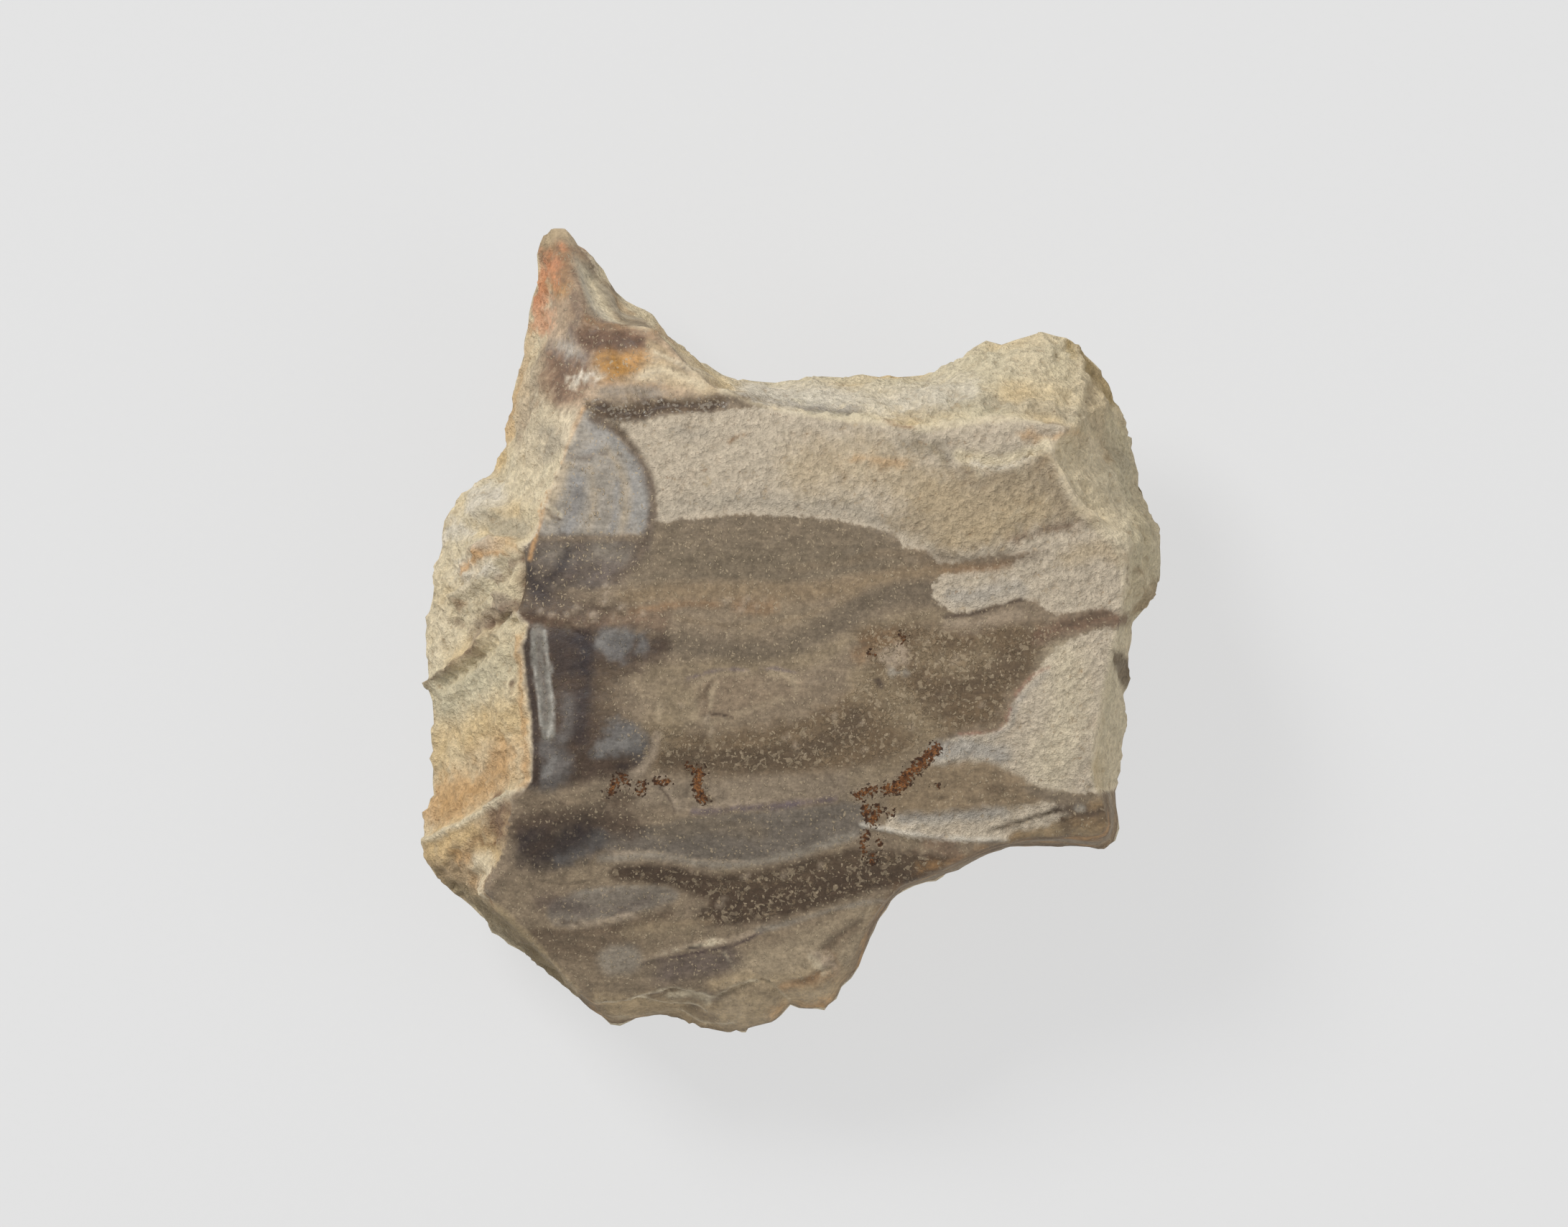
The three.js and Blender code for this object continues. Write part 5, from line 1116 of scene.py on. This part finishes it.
def texture(p, up, free, chalk, crust, bumps, lumps):
    """The height of each finish's texture, in mm, and the low sides' broad hollows.

    Chalk has small bumps and pits. Crust is coarser, and flint nearly smooth.
    """
    swell = rough(p, 5.5, 2, seed=2)
    crests = 1 - 2.4 * np.abs(rough(p, 4.2, 3, seed=12))
    crested = 0.4 * crests * smoothstep(swell, -0.5, 0.3)
    flint = (1 - chalk) * (1 - crust)
    moved = chalk * (0.24 * bumps + 0.22 * swell)
    moved += crust * (0.26 * bumps + 0.4 * lumps + crested + 0.45 * swell)
    moved += flint * (0.2 * rough(p, 8, 2, seed=4) + 0.09 * rough(p, 2.2, 3, seed=5))
    moved -= chalk * smoothstep(-lumps, 0.4, 0.9) * 0.15
    low_side = smoothstep(up, 0.2, -0.1) * smoothstep(p[:, 2], 14, 8) * free
    moved -= low_side * (0.6 + 0.9 * rough(p, 11, 3, seed=17))
    return moved


def cut_scars(p, moved, crust, skin):
    """Sinks the scars, and works out how bare each place is and where the skin then ends."""
    bare = np.zeros(len(p))
    for place, radius, depth, stripped in SCARS:
        away = np.linalg.norm(p - place, axis=1) + 1.2 * rough(p, 6, 1, seed=6)
        bowl = smoothstep(away, radius, radius - 1.2) * crust
        moved -= bowl * depth * (1 - (np.minimum(away, radius) / radius) ** 2 * 0.6)
        ripples = bowl * 0.1 * np.sin(away * 2.1)
        moved += ripples * smoothstep(away, 2, radius)
        bare = np.maximum(bare, bowl * stripped)
        if stripped > MOSTLY:
            torn = away + 4.5 * rough(p, 6, 3, seed=16)
            skin = np.where(bowl > 0, np.minimum(skin, torn - radius * stripped * 0.9), skin)
    return bare, skin


def carve(p, xy, above, moved):
    """Adds the creases, ledges, knobs and crystals, on the upper side only."""
    for height, reach, points in CREASES:
        distance, _ = line_distance(xy, curve_through(points))
        moved += above * height * np.exp(-((distance / reach) ** 2) * 1.6)
    for drop, reach, points in LEDGES:
        line = curve_through(points)
        distance, side = line_distance(xy, line)
        ends = np.minimum(
            np.linalg.norm(xy - line[0], axis=1), np.linalg.norm(xy - line[-1], axis=1)
        )
        fade = np.clip(1 - distance / reach, 0, 1) ** 1.5 * smoothstep(ends, 0, reach * 0.8)
        moved -= above * drop * fade * smoothstep(-side * distance, -0.12, 0.22)
    for height, reach, point in KNOBS:
        distance = np.linalg.norm(xy - point, axis=1)
        moved += above * height * np.exp(-((distance / reach) ** 2) * 1.2)
    uneven = 1 + 0.5 * rough(p, 0.9, 2, seed=13)
    for place, radius in CRYSTALS:
        distance = np.linalg.norm(xy - place, axis=1) * uneven
        moved += above * radius * 0.6 * smoothstep(distance, radius * 1.1, radius * 0.3)


def relief(stone):
    """Works out how far each vertex moves, in mm, and which finish it has."""
    vertices = stone.data.vertices
    p = read(vertices, "co", 3) / MM
    n = read(vertices, "normal", 3)
    xy = p[:, :2]
    up = n[:, 2]
    above = smoothstep(up, 0.0, 0.3)
    free = smoothstep(p[:, 2], RELIEF_STARTS, RELIEF_FULL)

    outside = outside_face(xy, up)
    crust = smoothstep(outside, -0.3, 0.5)
    chalk_depth = depth_of_chalk(xy, up)
    chalk = smoothstep(chalk_depth, -0.3, 0.7) * (1 - crust)
    skin = np.maximum(outside, chalk_depth)

    # The small bumps are drawn out along a slant.
    slant = np.stack([
        p[:, 0] * 0.77 + p[:, 1] * -0.64,
        (p[:, 0] * 0.64 + p[:, 1] * 0.77) * 0.62,
        p[:, 2],
    ], axis=1)
    bumps = rough(slant, 1.15, 3, seed=1)
    lumps = rough(p, 2.4, 3, seed=3)
    moved = texture(p, up, free, chalk, crust, bumps, lumps)
    bare, skin = cut_scars(p, moved, crust, skin)
    carve(p, xy, above, moved)
    return dict(p=p, n=n, xy=xy, up=up, above=above, free=free, crust=crust, skin=skin, bare=bare,
                bumps=bumps, lumps=lumps, moved=moved)


# Nothing comes nearer than this to the CAD part's box, in mm.
BOX_MARGIN = 0.01
# Places lower than this, in mm, are the flat that the stone rests on, and stay where they are.
RESTING_HEIGHT = 0.02


def move_vertices(stone, shape):
    """Moves each vertex along its normal, and keeps it in the CAD part's box and off the floor."""
    moved = shape["p"] + shape["n"] * (shape["moved"] * shape["free"])[:, None]
    low = np.array(cad_box[0]) / MM
    high = np.array(cad_box[1]) / MM
    moved = np.clip(moved, low + BOX_MARGIN, high - BOX_MARGIN)
    resting = shape["p"][:, 2] < RESTING_HEIGHT
    moved[resting] = shape["p"][resting]
    moved[:, 2] = np.maximum(moved[:, 2], 0)
    stone.data.vertices.foreach_set("co", (moved * MM).ravel())
    stone.data.update()


def lay(colour, p, marks, where, ragged):
    """Paints marks over a colour, one after the other."""
    xy = p[:, :2]
    for mark in marks:
        points = np.array(mark["points"], float)
        margin = (mark["width"] or 0) + mark["soft"] + mark["ragged"] + 1.5
        near = where & np.all((xy > points.min(0) - margin) & (xy < points.max(0) + margin), axis=1)
        if not near.any():
            continue
        depth = depth_in(xy[near], mark) + mark["ragged"] * ragged[near]
        cover = mark["strength"] * smoothstep(depth, -mark["soft"], mark["soft"])
        colour[near] += cover[:, None] * (COLOURS[mark["colour"]] - colour[near])


def blend(colour, name, amount):
    colour += np.asarray(amount)[:, None] * (COLOURS[name] - colour)


def flint_colour(shape, patches, ragged, steep):
    """The flint's colour: bands, veins, stains and some painted light and shade on the struck face, plain
    layers on steep sides.
    """
    p = shape["p"]
    upper = shape["up"] >= UNDERSIDE
    flint = np.tile(COLOURS["flint"], (len(p), 1))
    blend(flint, "pale_olive", 0.35 * smoothstep(patches, -0.2, 0.7))
    blend(flint, "deep_olive", shape["bare"] * 0.4 * smoothstep(patches, 0, 0.6))

    # Seen from above a steep side is narrow, so marks drawn in plan would run down it in streaks.
    clean = flint.copy()
    blend(clean, "earth", 0.5 * smoothstep(-patches, -0.1, 0.5))
    tilted = p[:, 2] * 0.9 + p[:, 0] * 0.12 + 1.6 * rough(p, 9, 3, seed=14)
    blend(clean, "smoke", 0.55 * smoothstep(np.sin(tilted * 0.62), 0.0, 0.7))
    blend(clean, "slate_edge", 0.5 * smoothstep(np.sin(tilted * 0.62 + 2.4), 0.3, 0.9))
    blend(clean, "ochre", 0.45 * smoothstep(rough(p, 5, 3, seed=15), 0.15, 0.6))

    lay(flint, p, FLINT_PAINT, upper, ragged)
    for place, radius in CRYSTALS:
        top = (place[0] + radius * 0.6, place[1] + radius)
        crystal = stroke("rose", radius * 0.7, [place, top], 0.3, 0.9, 0.5)
        lay(flint, p, [crystal], upper, ragged)
    flint += 0.85 * steep[:, None] * (clean - flint)
    return flint


def skin_colour(shape, patches, ragged, steep):
    """The colour of the chalk and the crust, with some painted light and shade and plain mottling low on the
    steep sides.
    """
    p = shape["p"]
    crust = shape["crust"]
    upper = shape["up"] >= UNDERSIDE
    skin = np.tile(COLOURS["chalk"], (len(p), 1))
    blend(skin, "crust", crust)
    blend(skin, "crust_yellow", crust * 0.5 * smoothstep(patches, 0.0, 0.6))
    blend(skin, "crust_green", crust * 0.5 * smoothstep(-patches, 0.0, 0.5))
    right = smoothstep(p[:, 0], 30, 42) * smoothstep(p[:, 1], 26, 18)
    blend(skin, "crust_olive", crust * right * 0.4)
    lay(skin, p, UNDER_PAINT, ~upper, rough(p, 4, 3, seed=9))

    plain = skin.copy()
    blend(plain, "ochre", 0.4 * smoothstep(rough(p, 8, 3, seed=18), 0.1, 0.6))
    blend(plain, "chalk_grey", 0.45 * smoothstep(rough(p, 10, 3, seed=19), 0.1, 0.6))
    blend(plain, "cream", 0.5 * smoothstep(rough(p, 6, 3, seed=20), 0.1, 0.6))

    lay(skin, p, SKIN_PAINT, upper, ragged)
    skin += 0.8 * (steep * smoothstep(p[:, 2], 22, 12))[:, None] * (plain - skin)
    # Browner in the hollows of the relief and paler on its raised tops; the paler tops are a painted
    # highlight.
    hollow = smoothstep(-shape["bumps"] - 0.6 * shape["lumps"], 0.25, 1.1)
    blend(skin, "light_brown", hollow * 0.2)
    proud = smoothstep(shape["bumps"] + 0.6 * shape["lumps"], 0.35, 1.2)
    blend(skin, "cream", proud * 0.34)
    return skin


def amount_speckled(xy):
    """How thickly pale specks lie in the flint: most in two bands, least in the dark patches."""
    olive = smoothstep(depth_in(xy, patch("olive", SPECKLED)), -1.5, 1.5)
    band = smoothstep(depth_in(xy, patch("smoke", DARK_BAND)), -1, 1)
    panel = smoothstep(depth_in(xy, PANEL_PAINT[0]), -1, 1)
    corner = smoothstep(depth_in(xy, stroke("ink", 2.4, [(-32, -26.4), (-25, -26)])), -1, 1)
    few = 0.3 - 0.24 * np.maximum(panel, corner)
    return np.maximum(few, np.maximum(olive, band))


def depth_of_rust(xy, up):
    """How deep each place lies inside the rust, in mm, down to -3 where there is none."""
    rust = np.full(len(xy), -3.0)
    for width, points in RUST:
        rust = np.maximum(rust, depth_in(xy, stroke("rust", width * 0.8, points)))
    return np.where(up < UNDERSIDE, -3, rust)


def paint(stone, shape):
    """Works out each vertex's colours and finish and keeps them as attributes.

    The flint and the skin of chalk or crust on it have a colour each.
    """
    p = shape["p"]
    xy = shape["xy"]
    patches = rough(p, 9, 2, seed=7)
    ragged = 0.55 * rough(p, 2.6, 2, seed=8) + 0.55 * rough(p, 0.95, 2, seed=9)
    steep = smoothstep(shape["up"], 0.34, 0.12)
    keep_colour(stone, "flint_paint", flint_colour(shape, patches, ragged, steep))
    keep_colour(stone, "skin_paint", skin_colour(shape, patches, ragged, steep))
    keep_amount(stone, "skin", np.clip(shape["skin"], -4, 4))
    keep_amount(stone, "speckled", amount_speckled(xy))
    # Where the druse's crystals lie, facing up; the material gives them pale spots, partly a painted glint.
    druse = smoothstep(depth_in(xy, stroke("umber", 1.1, DRUSE)), -0.3, 0.6)
    keep_amount(stone, "glitter", druse * shape["above"])
    from_rim, _ = line_distance(xy, curve_through(PANEL_RIM))
    keep_amount(stone, "firm", smoothstep(from_rim, 2.4, 0.8) * shape["above"])
    keep_amount(stone, "rust", depth_of_rust(xy, shape["up"]))
    keep_amount(stone, "facing_up", smoothstep(shape["up"], 0.2, 0.6))


def keep_amount(stone, name, amount):
    attribute = stone.data.attributes.new(name, "FLOAT", "POINT")
    attribute.data.foreach_set("value", amount.astype(np.float32))


def keep_colour(stone, name, colour):
    attribute = stone.data.attributes.new(name, "FLOAT_COLOR", "POINT")
    solid = np.hstack([np.clip(colour, 0, 1), np.ones((len(colour), 1))])
    attribute.data.foreach_set("color", solid.ravel().astype(np.float32))


# ---- materials ----

BUMP_DEPTH = 0.45 * MM
DULL = (0.95, 0.95, 0.95, 1.0)
BRIGHT = (0.15, 0.15, 0.15, 1.0)


class Recipe:
    """A material's nodes, added one after the other."""

    def __init__(self, name):
        self.material = bpy.data.materials.new(name)
        self.material.use_nodes = True
        self.nodes = self.material.node_tree.nodes
        self.links = self.material.node_tree.links
        self.shader = self.nodes["Principled BSDF"]

    def fill(self, node, inputs):
        for name, value in inputs.items():
            if isinstance(value, bpy.types.NodeSocket):
                self.links.new(value, node.inputs[name])
            else:
                node.inputs[name].default_value = value

    def add(self, kind, inputs=None, output=0, **settings):
        node = self.nodes.new("ShaderNode" + kind)
        for name, value in settings.items():
            setattr(node, name, value)
        self.fill(node, inputs or {})
        return node.outputs[output]

    def amount(self, name):
        return self.add("Attribute", output="Fac", attribute_name=name)

    def painted(self, name):
        return self.add("Attribute", output="Color", attribute_name=name)

    def chain(self, operation, values):
        result = values[0]
        for value in values[1:]:
            result = self.add("Math", {0: result, 1: value}, operation=operation)
        return result

    def plus(self, *values):
        return self.chain("ADD", values)

    def minus(self, first, second):
        return self.chain("SUBTRACT", (first, second))

    def times(self, *values):
        return self.chain("MULTIPLY", values)

    def ramp(self, value, low, high, to_low=0.0, to_high=1.0):
        return self.add("MapRange", {
            "Value": value, "From Min": low, "From Max": high, "To Min": to_low, "To Max": to_high,
        }, interpolation_type="SMOOTHSTEP")

    def noise(self, place, scale, detail=3.0, roughness=0.55):
        return self.add("TexNoise", {
            "Vector": place, "Scale": scale, "Detail": detail, "Roughness": roughness,
        })

    def cells(self, place, scale, output="Distance"):
        """How far each point is from the middle of its cell."""
        return self.add("TexVoronoi", {"Vector": place, "Scale": scale, "Randomness": 1.0}, output)

    def cell_value(self, place, scale):
        """A random value for each cell, from 0 to 1."""
        return self.add("SeparateColor", {"Color": self.cells(place, scale, "Color")})

    def mix(self, share, first, second, way="MIX"):
        node = self.nodes.new("ShaderNodeMix")
        node.data_type = "RGBA"
        node.blend_type = way
        self.fill(node, {0: share, 6: first, 7: second})
        return node.outputs[2]


def opaque(name):
    return (*COLOURS[name], 1.0)


def stone_grain(r):
    """Places on the stone in mm, and the grains that its finishes are made from."""
    place = r.add("TexCoord", output="Object")
    mm = r.add("VectorMath", {0: place, "Scale": 1 / MM}, operation="SCALE")
    swirl = r.add("TexNoise", {"Vector": mm, "Scale": 1.3, "Detail": 3.0}, output="Color")
    bent = r.add("VectorMath", {0: mm, 1: swirl}, operation="ADD")
    grain = r.noise(mm, 0.85, 6.0, 0.62)
    pebbles = r.noise(mm, 2.1, 4.0, 0.6)
    return dict(
        mm=mm,
        bent=bent,
        grain=grain,
        coarse=r.minus(grain, 0.5),
        pebbles=pebbles,
        fine=r.minus(pebbles, 0.5),
        powder=r.noise(mm, 5.0, 2.0, 0.6),
        nubs=r.cells(bent, 1.7),
        bloom=r.noise(mm, 2.4, 3.0, 0.7),
        flaky=r.noise(mm, 0.95, 5.0, 0.66),
    )


def skin_look(r, grains):
    """The colour of the chalk and the crust."""
    tone = r.times(
        r.ramp(grains["grain"], 0.3, 0.7, 0.85, 1.13),
        r.ramp(grains["pebbles"], 0.3, 0.7, 0.9, 1.08),
        r.ramp(grains["nubs"], 0.25, 0.8, 1.04, 0.88),
        r.ramp(grains["powder"], 0.3, 0.7, 0.93, 1.06),
    )
    skin = r.mix(1.0, r.painted("skin_paint"), tone, "MULTIPLY")
    pores = r.times(r.ramp(grains["grain"], 0.42, 0.3), 0.4)
    skin = r.mix(pores, skin, opaque("crumb"))
    specks = r.times(r.ramp(r.noise(grains["mm"], 1.1, 3.0, 0.7), 0.64, 0.7), 0.45)
    return r.mix(specks, skin, opaque("light_brown"))


def flint_look(r, grains):
    """The flint's colour, and the height of what stands proud of it."""
    mm = grains["mm"]
    bent = grains["bent"]

    # Thin layers, clouds and fine bloom.
    layered = r.add("Mapping", {"Vector": mm, "Rotation": (0, 0, -0.12), "Scale": (0.28, 1.5, 0.5)})
    tone = r.times(
        r.ramp(r.noise(layered, 1.0, 5.0, 0.62), 0.3, 0.7, 0.89, 1.1),
        r.ramp(r.noise(mm, 0.5, 5.0, 0.62), 0.28, 0.72, 0.88, 1.08),
        r.ramp(grains["bloom"], 0.3, 0.7, 0.82, 1.15),
        r.ramp(grains["flaky"], 0.3, 0.7, 0.84, 1.14),
    )
    flint = r.mix(1.0, r.painted("flint_paint"), tone, "MULTIPLY")

    # Pale dashes and grit, then flakes, chips and dark holes, which are thick in the speckled bands.
    speckled = r.amount("speckled")
    common = r.ramp(speckled, 0.0, 0.35, 0.15, 0.8)
    thick = r.ramp(speckled, 0.35, 1.0)
    gathered = r.ramp(r.noise(mm, 0.6, 3.0), 0.32, 0.55, 0.15, 1.0)
    long_place = r.add("Mapping", {"Vector": bent, "Rotation": (0, 0, 0.2), "Scale": (2.5, 1.4, 0.2)})
    chance = r.ramp(r.cell_value(long_place, 1.0), 0.3, 0.8)
    dashes = r.times(r.ramp(r.cells(long_place, 1.0), 0.34, 0.2), chance, gathered)
    flint = r.mix(r.times(dashes, common), flint, opaque("chalk_shade"))
    picked = r.ramp(r.cell_value(bent, 2.6), 0.74, 0.84)
    grit = r.times(r.ramp(r.cells(bent, 2.6), 0.42, 0.22), picked)
    flint = r.mix(r.times(grit, common), flint, opaque("chalk_shade"))
    flakes = r.times(r.ramp(grains["flaky"], 0.53, 0.62), thick)
    flint = r.mix(r.times(flakes, 0.4), flint, opaque("tan"))
    chips = r.times(r.ramp(r.cell_value(bent, 2.1), 0.8, 0.84), thick, gathered)
    flint = r.mix(r.times(chips, 0.5), flint, opaque("chalk_shade"))
    holes = r.times(r.ramp(grains["flaky"], 0.45, 0.3), r.ramp(speckled, 0.2, 1.0, 0.4, 1.0))
    flint = r.mix(r.times(holes, 0.45), flint, opaque("smoke"))
    proud = r.plus(
        r.times(grains["bloom"], 0.14), r.times(dashes, 0.2), r.times(flakes, 0.22),
        r.times(chips, 0.25),
    )
    return flint, proud


def rust_look(r, grains):
    """The rust's cover, in crumbs, and its colour."""
    crumbs = r.minus(r.noise(grains["mm"], 2.3, 2.0, 0.5), 0.5)
    cover = r.ramp(r.plus(r.amount("rust"), r.times(crumbs, 3.4)), 0.0, 0.3)
    rust = r.mix(r.ramp(grains["pebbles"], 0.4, 0.54), opaque("rust_rim"), opaque("rust"))
    return cover, r.mix(r.ramp(crumbs, 0.03, 0.14), rust, opaque("soot"))


def stone_material():
    r = Recipe("flint_and_chalk")
    grains = stone_grain(r)

    # The skin ends in crumbs of its own grain, and in a firm line by the dark panel.
    crumble = r.plus(r.times(grains["coarse"], 1.5), grains["fine"])
    crumble = r.times(crumble, r.ramp(r.amount("firm"), 0.0, 1.0, 1.0, 0.15))
    skin_depth = r.plus(r.amount("skin"), crumble)
    covered = r.ramp(skin_depth, -0.3, 0.35)
    chalky = r.ramp(skin_depth, -0.2, 0.6)

    flint, proud = flint_look(r, grains)
    colour = r.mix(covered, flint, skin_look(r, grains))
    rusty, rust = rust_look(r, grains)
    colour = r.mix(rusty, colour, rust)
    # Tiny crystals along the dark seam: paler spots, partly a painted glint, which are also glossier and
    # raised.
    sparkle = r.times(r.ramp(r.cell_value(grains["mm"], 3.4), 0.75, 0.85), r.amount("glitter"))
    colour = r.mix(r.times(sparkle, 0.6), colour, opaque("slate_edge"))

    clear = r.mix(r.amount("facing_up"), DULL, r.ramp(grains["bloom"], 0.3, 0.7, 0.42, 0.6))
    roughness = r.mix(chalky, clear, r.ramp(grains["grain"], 0.3, 0.7, 0.97, 0.86))
    roughness = r.mix(sparkle, roughness, BRIGHT)

    height = r.minus(r.times(grains["coarse"], 1.3), r.times(grains["nubs"], 0.42))
    height = r.plus(height, r.times(grains["fine"], 0.7), r.times(grains["powder"], 0.35))
    height = r.plus(
        r.times(height, chalky), r.times(proud, r.minus(1.0, covered)), r.times(rusty, 0.35),
        r.times(sparkle, 0.8),
    )
    bump = r.add("Bump", {"Height": height, "Distance": BUMP_DEPTH, "Strength": 1.0})
    r.fill(r.shader, {"Base Color": colour, "Roughness": roughness, "Normal": bump})
    r.shader.inputs["Specular IOR Level"].default_value = 0.32
    return r.material


# ---- the stage, in metres and watts ----

FLOOR_SIDE = 14.0
FLOOR_GLOW = 0.605
ROOM_LIGHT = 0.46
# Square softboxes that face the stone: place, side and power.
SOFTBOXES = {
    "key": ((-1.1, 1.2, 1.6), 0.7, 34),
    "fill": ((1.6, -0.3, 1.5), 1.2, 7),
}
FRAME_WIDTH = 194.7 * MM  # what the camera sees across, at the height of the stone's face
FRAME_CENTRE = (-0.76 * MM, 2.1 * MM)
CAMERA_HEIGHT = 2.5
CAMERA_REACH = 20
SENSOR_MM = 36.0
FACE_HEIGHT = 24 * MM


def build_floor():
    bpy.ops.mesh.primitive_plane_add(size=FLOOR_SIDE, location=(0, 0, 0))
    floor = bpy.context.object
    floor.name = "floor"
    r = Recipe("pale_floor")
    place = r.add("TexCoord", output="Object")
    fibres = r.noise(place, 900.0, 3.0)
    colour = r.mix(fibres, (0.155, 0.155, 0.155, 1), (0.165, 0.165, 0.165, 1))
    r.fill(r.shader, {"Base Color": colour, "Roughness": 0.95})
    r.shader.inputs["Specular IOR Level"].default_value = 0.1
    r.shader.inputs["Emission Color"].default_value = (1, 1, 1, 1)
    r.shader.inputs["Emission Strength"].default_value = FLOOR_GLOW
    floor.data.materials.append(r.material)
    return floor


def add_softbox(name, place, side, power):
    bpy.ops.object.light_add(type="AREA", location=place)
    lamp = bpy.context.object
    lamp.name = name
    lamp.data.shape = "SQUARE"
    lamp.data.size = side
    lamp.data.energy = power
    lamp.rotation_euler = Vector(place).to_track_quat("Z", "Y").to_euler()


def light_the_room():
    world = bpy.data.worlds.new("pale_room")
    bpy.context.scene.world = world
    world.use_nodes = True
    background = world.node_tree.nodes["Background"]
    background.inputs["Color"].default_value = (1.0, 1.0, 1.0, 1)
    background.inputs["Strength"].default_value = ROOM_LIGHT
    for name, (place, side, power) in SOFTBOXES.items():
        add_softbox(name, place, side, power)
    view = bpy.context.scene.view_settings
    view.view_transform = "Standard"
    view.look = "None"
    view.exposure = 0
    view.gamma = 1


def place_camera():
    bpy.ops.object.camera_add(location=(*FRAME_CENTRE, CAMERA_HEIGHT), rotation=(0, 0, 0))
    camera = bpy.context.object
    camera.name = "camera"
    camera.data.sensor_width = SENSOR_MM
    camera.data.lens = SENSOR_MM * (CAMERA_HEIGHT - FACE_HEIGHT) / FRAME_WIDTH
    camera.data.clip_end = CAMERA_REACH
    bpy.context.scene.camera = camera


# ---- putting it together ----

SMOOTH_ANGLE = math.radians(50)

stone = build_stone()
shape = relief(stone)
move_vertices(stone, shape)
paint(stone, shape)
stone.data.materials.append(stone_material())
select_only(stone)
bpy.ops.object.shade_smooth_by_angle(angle=SMOOTH_ANGLE)
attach(stone, "root")
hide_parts(NODE)

build_floor()
light_the_room()
place_camera()
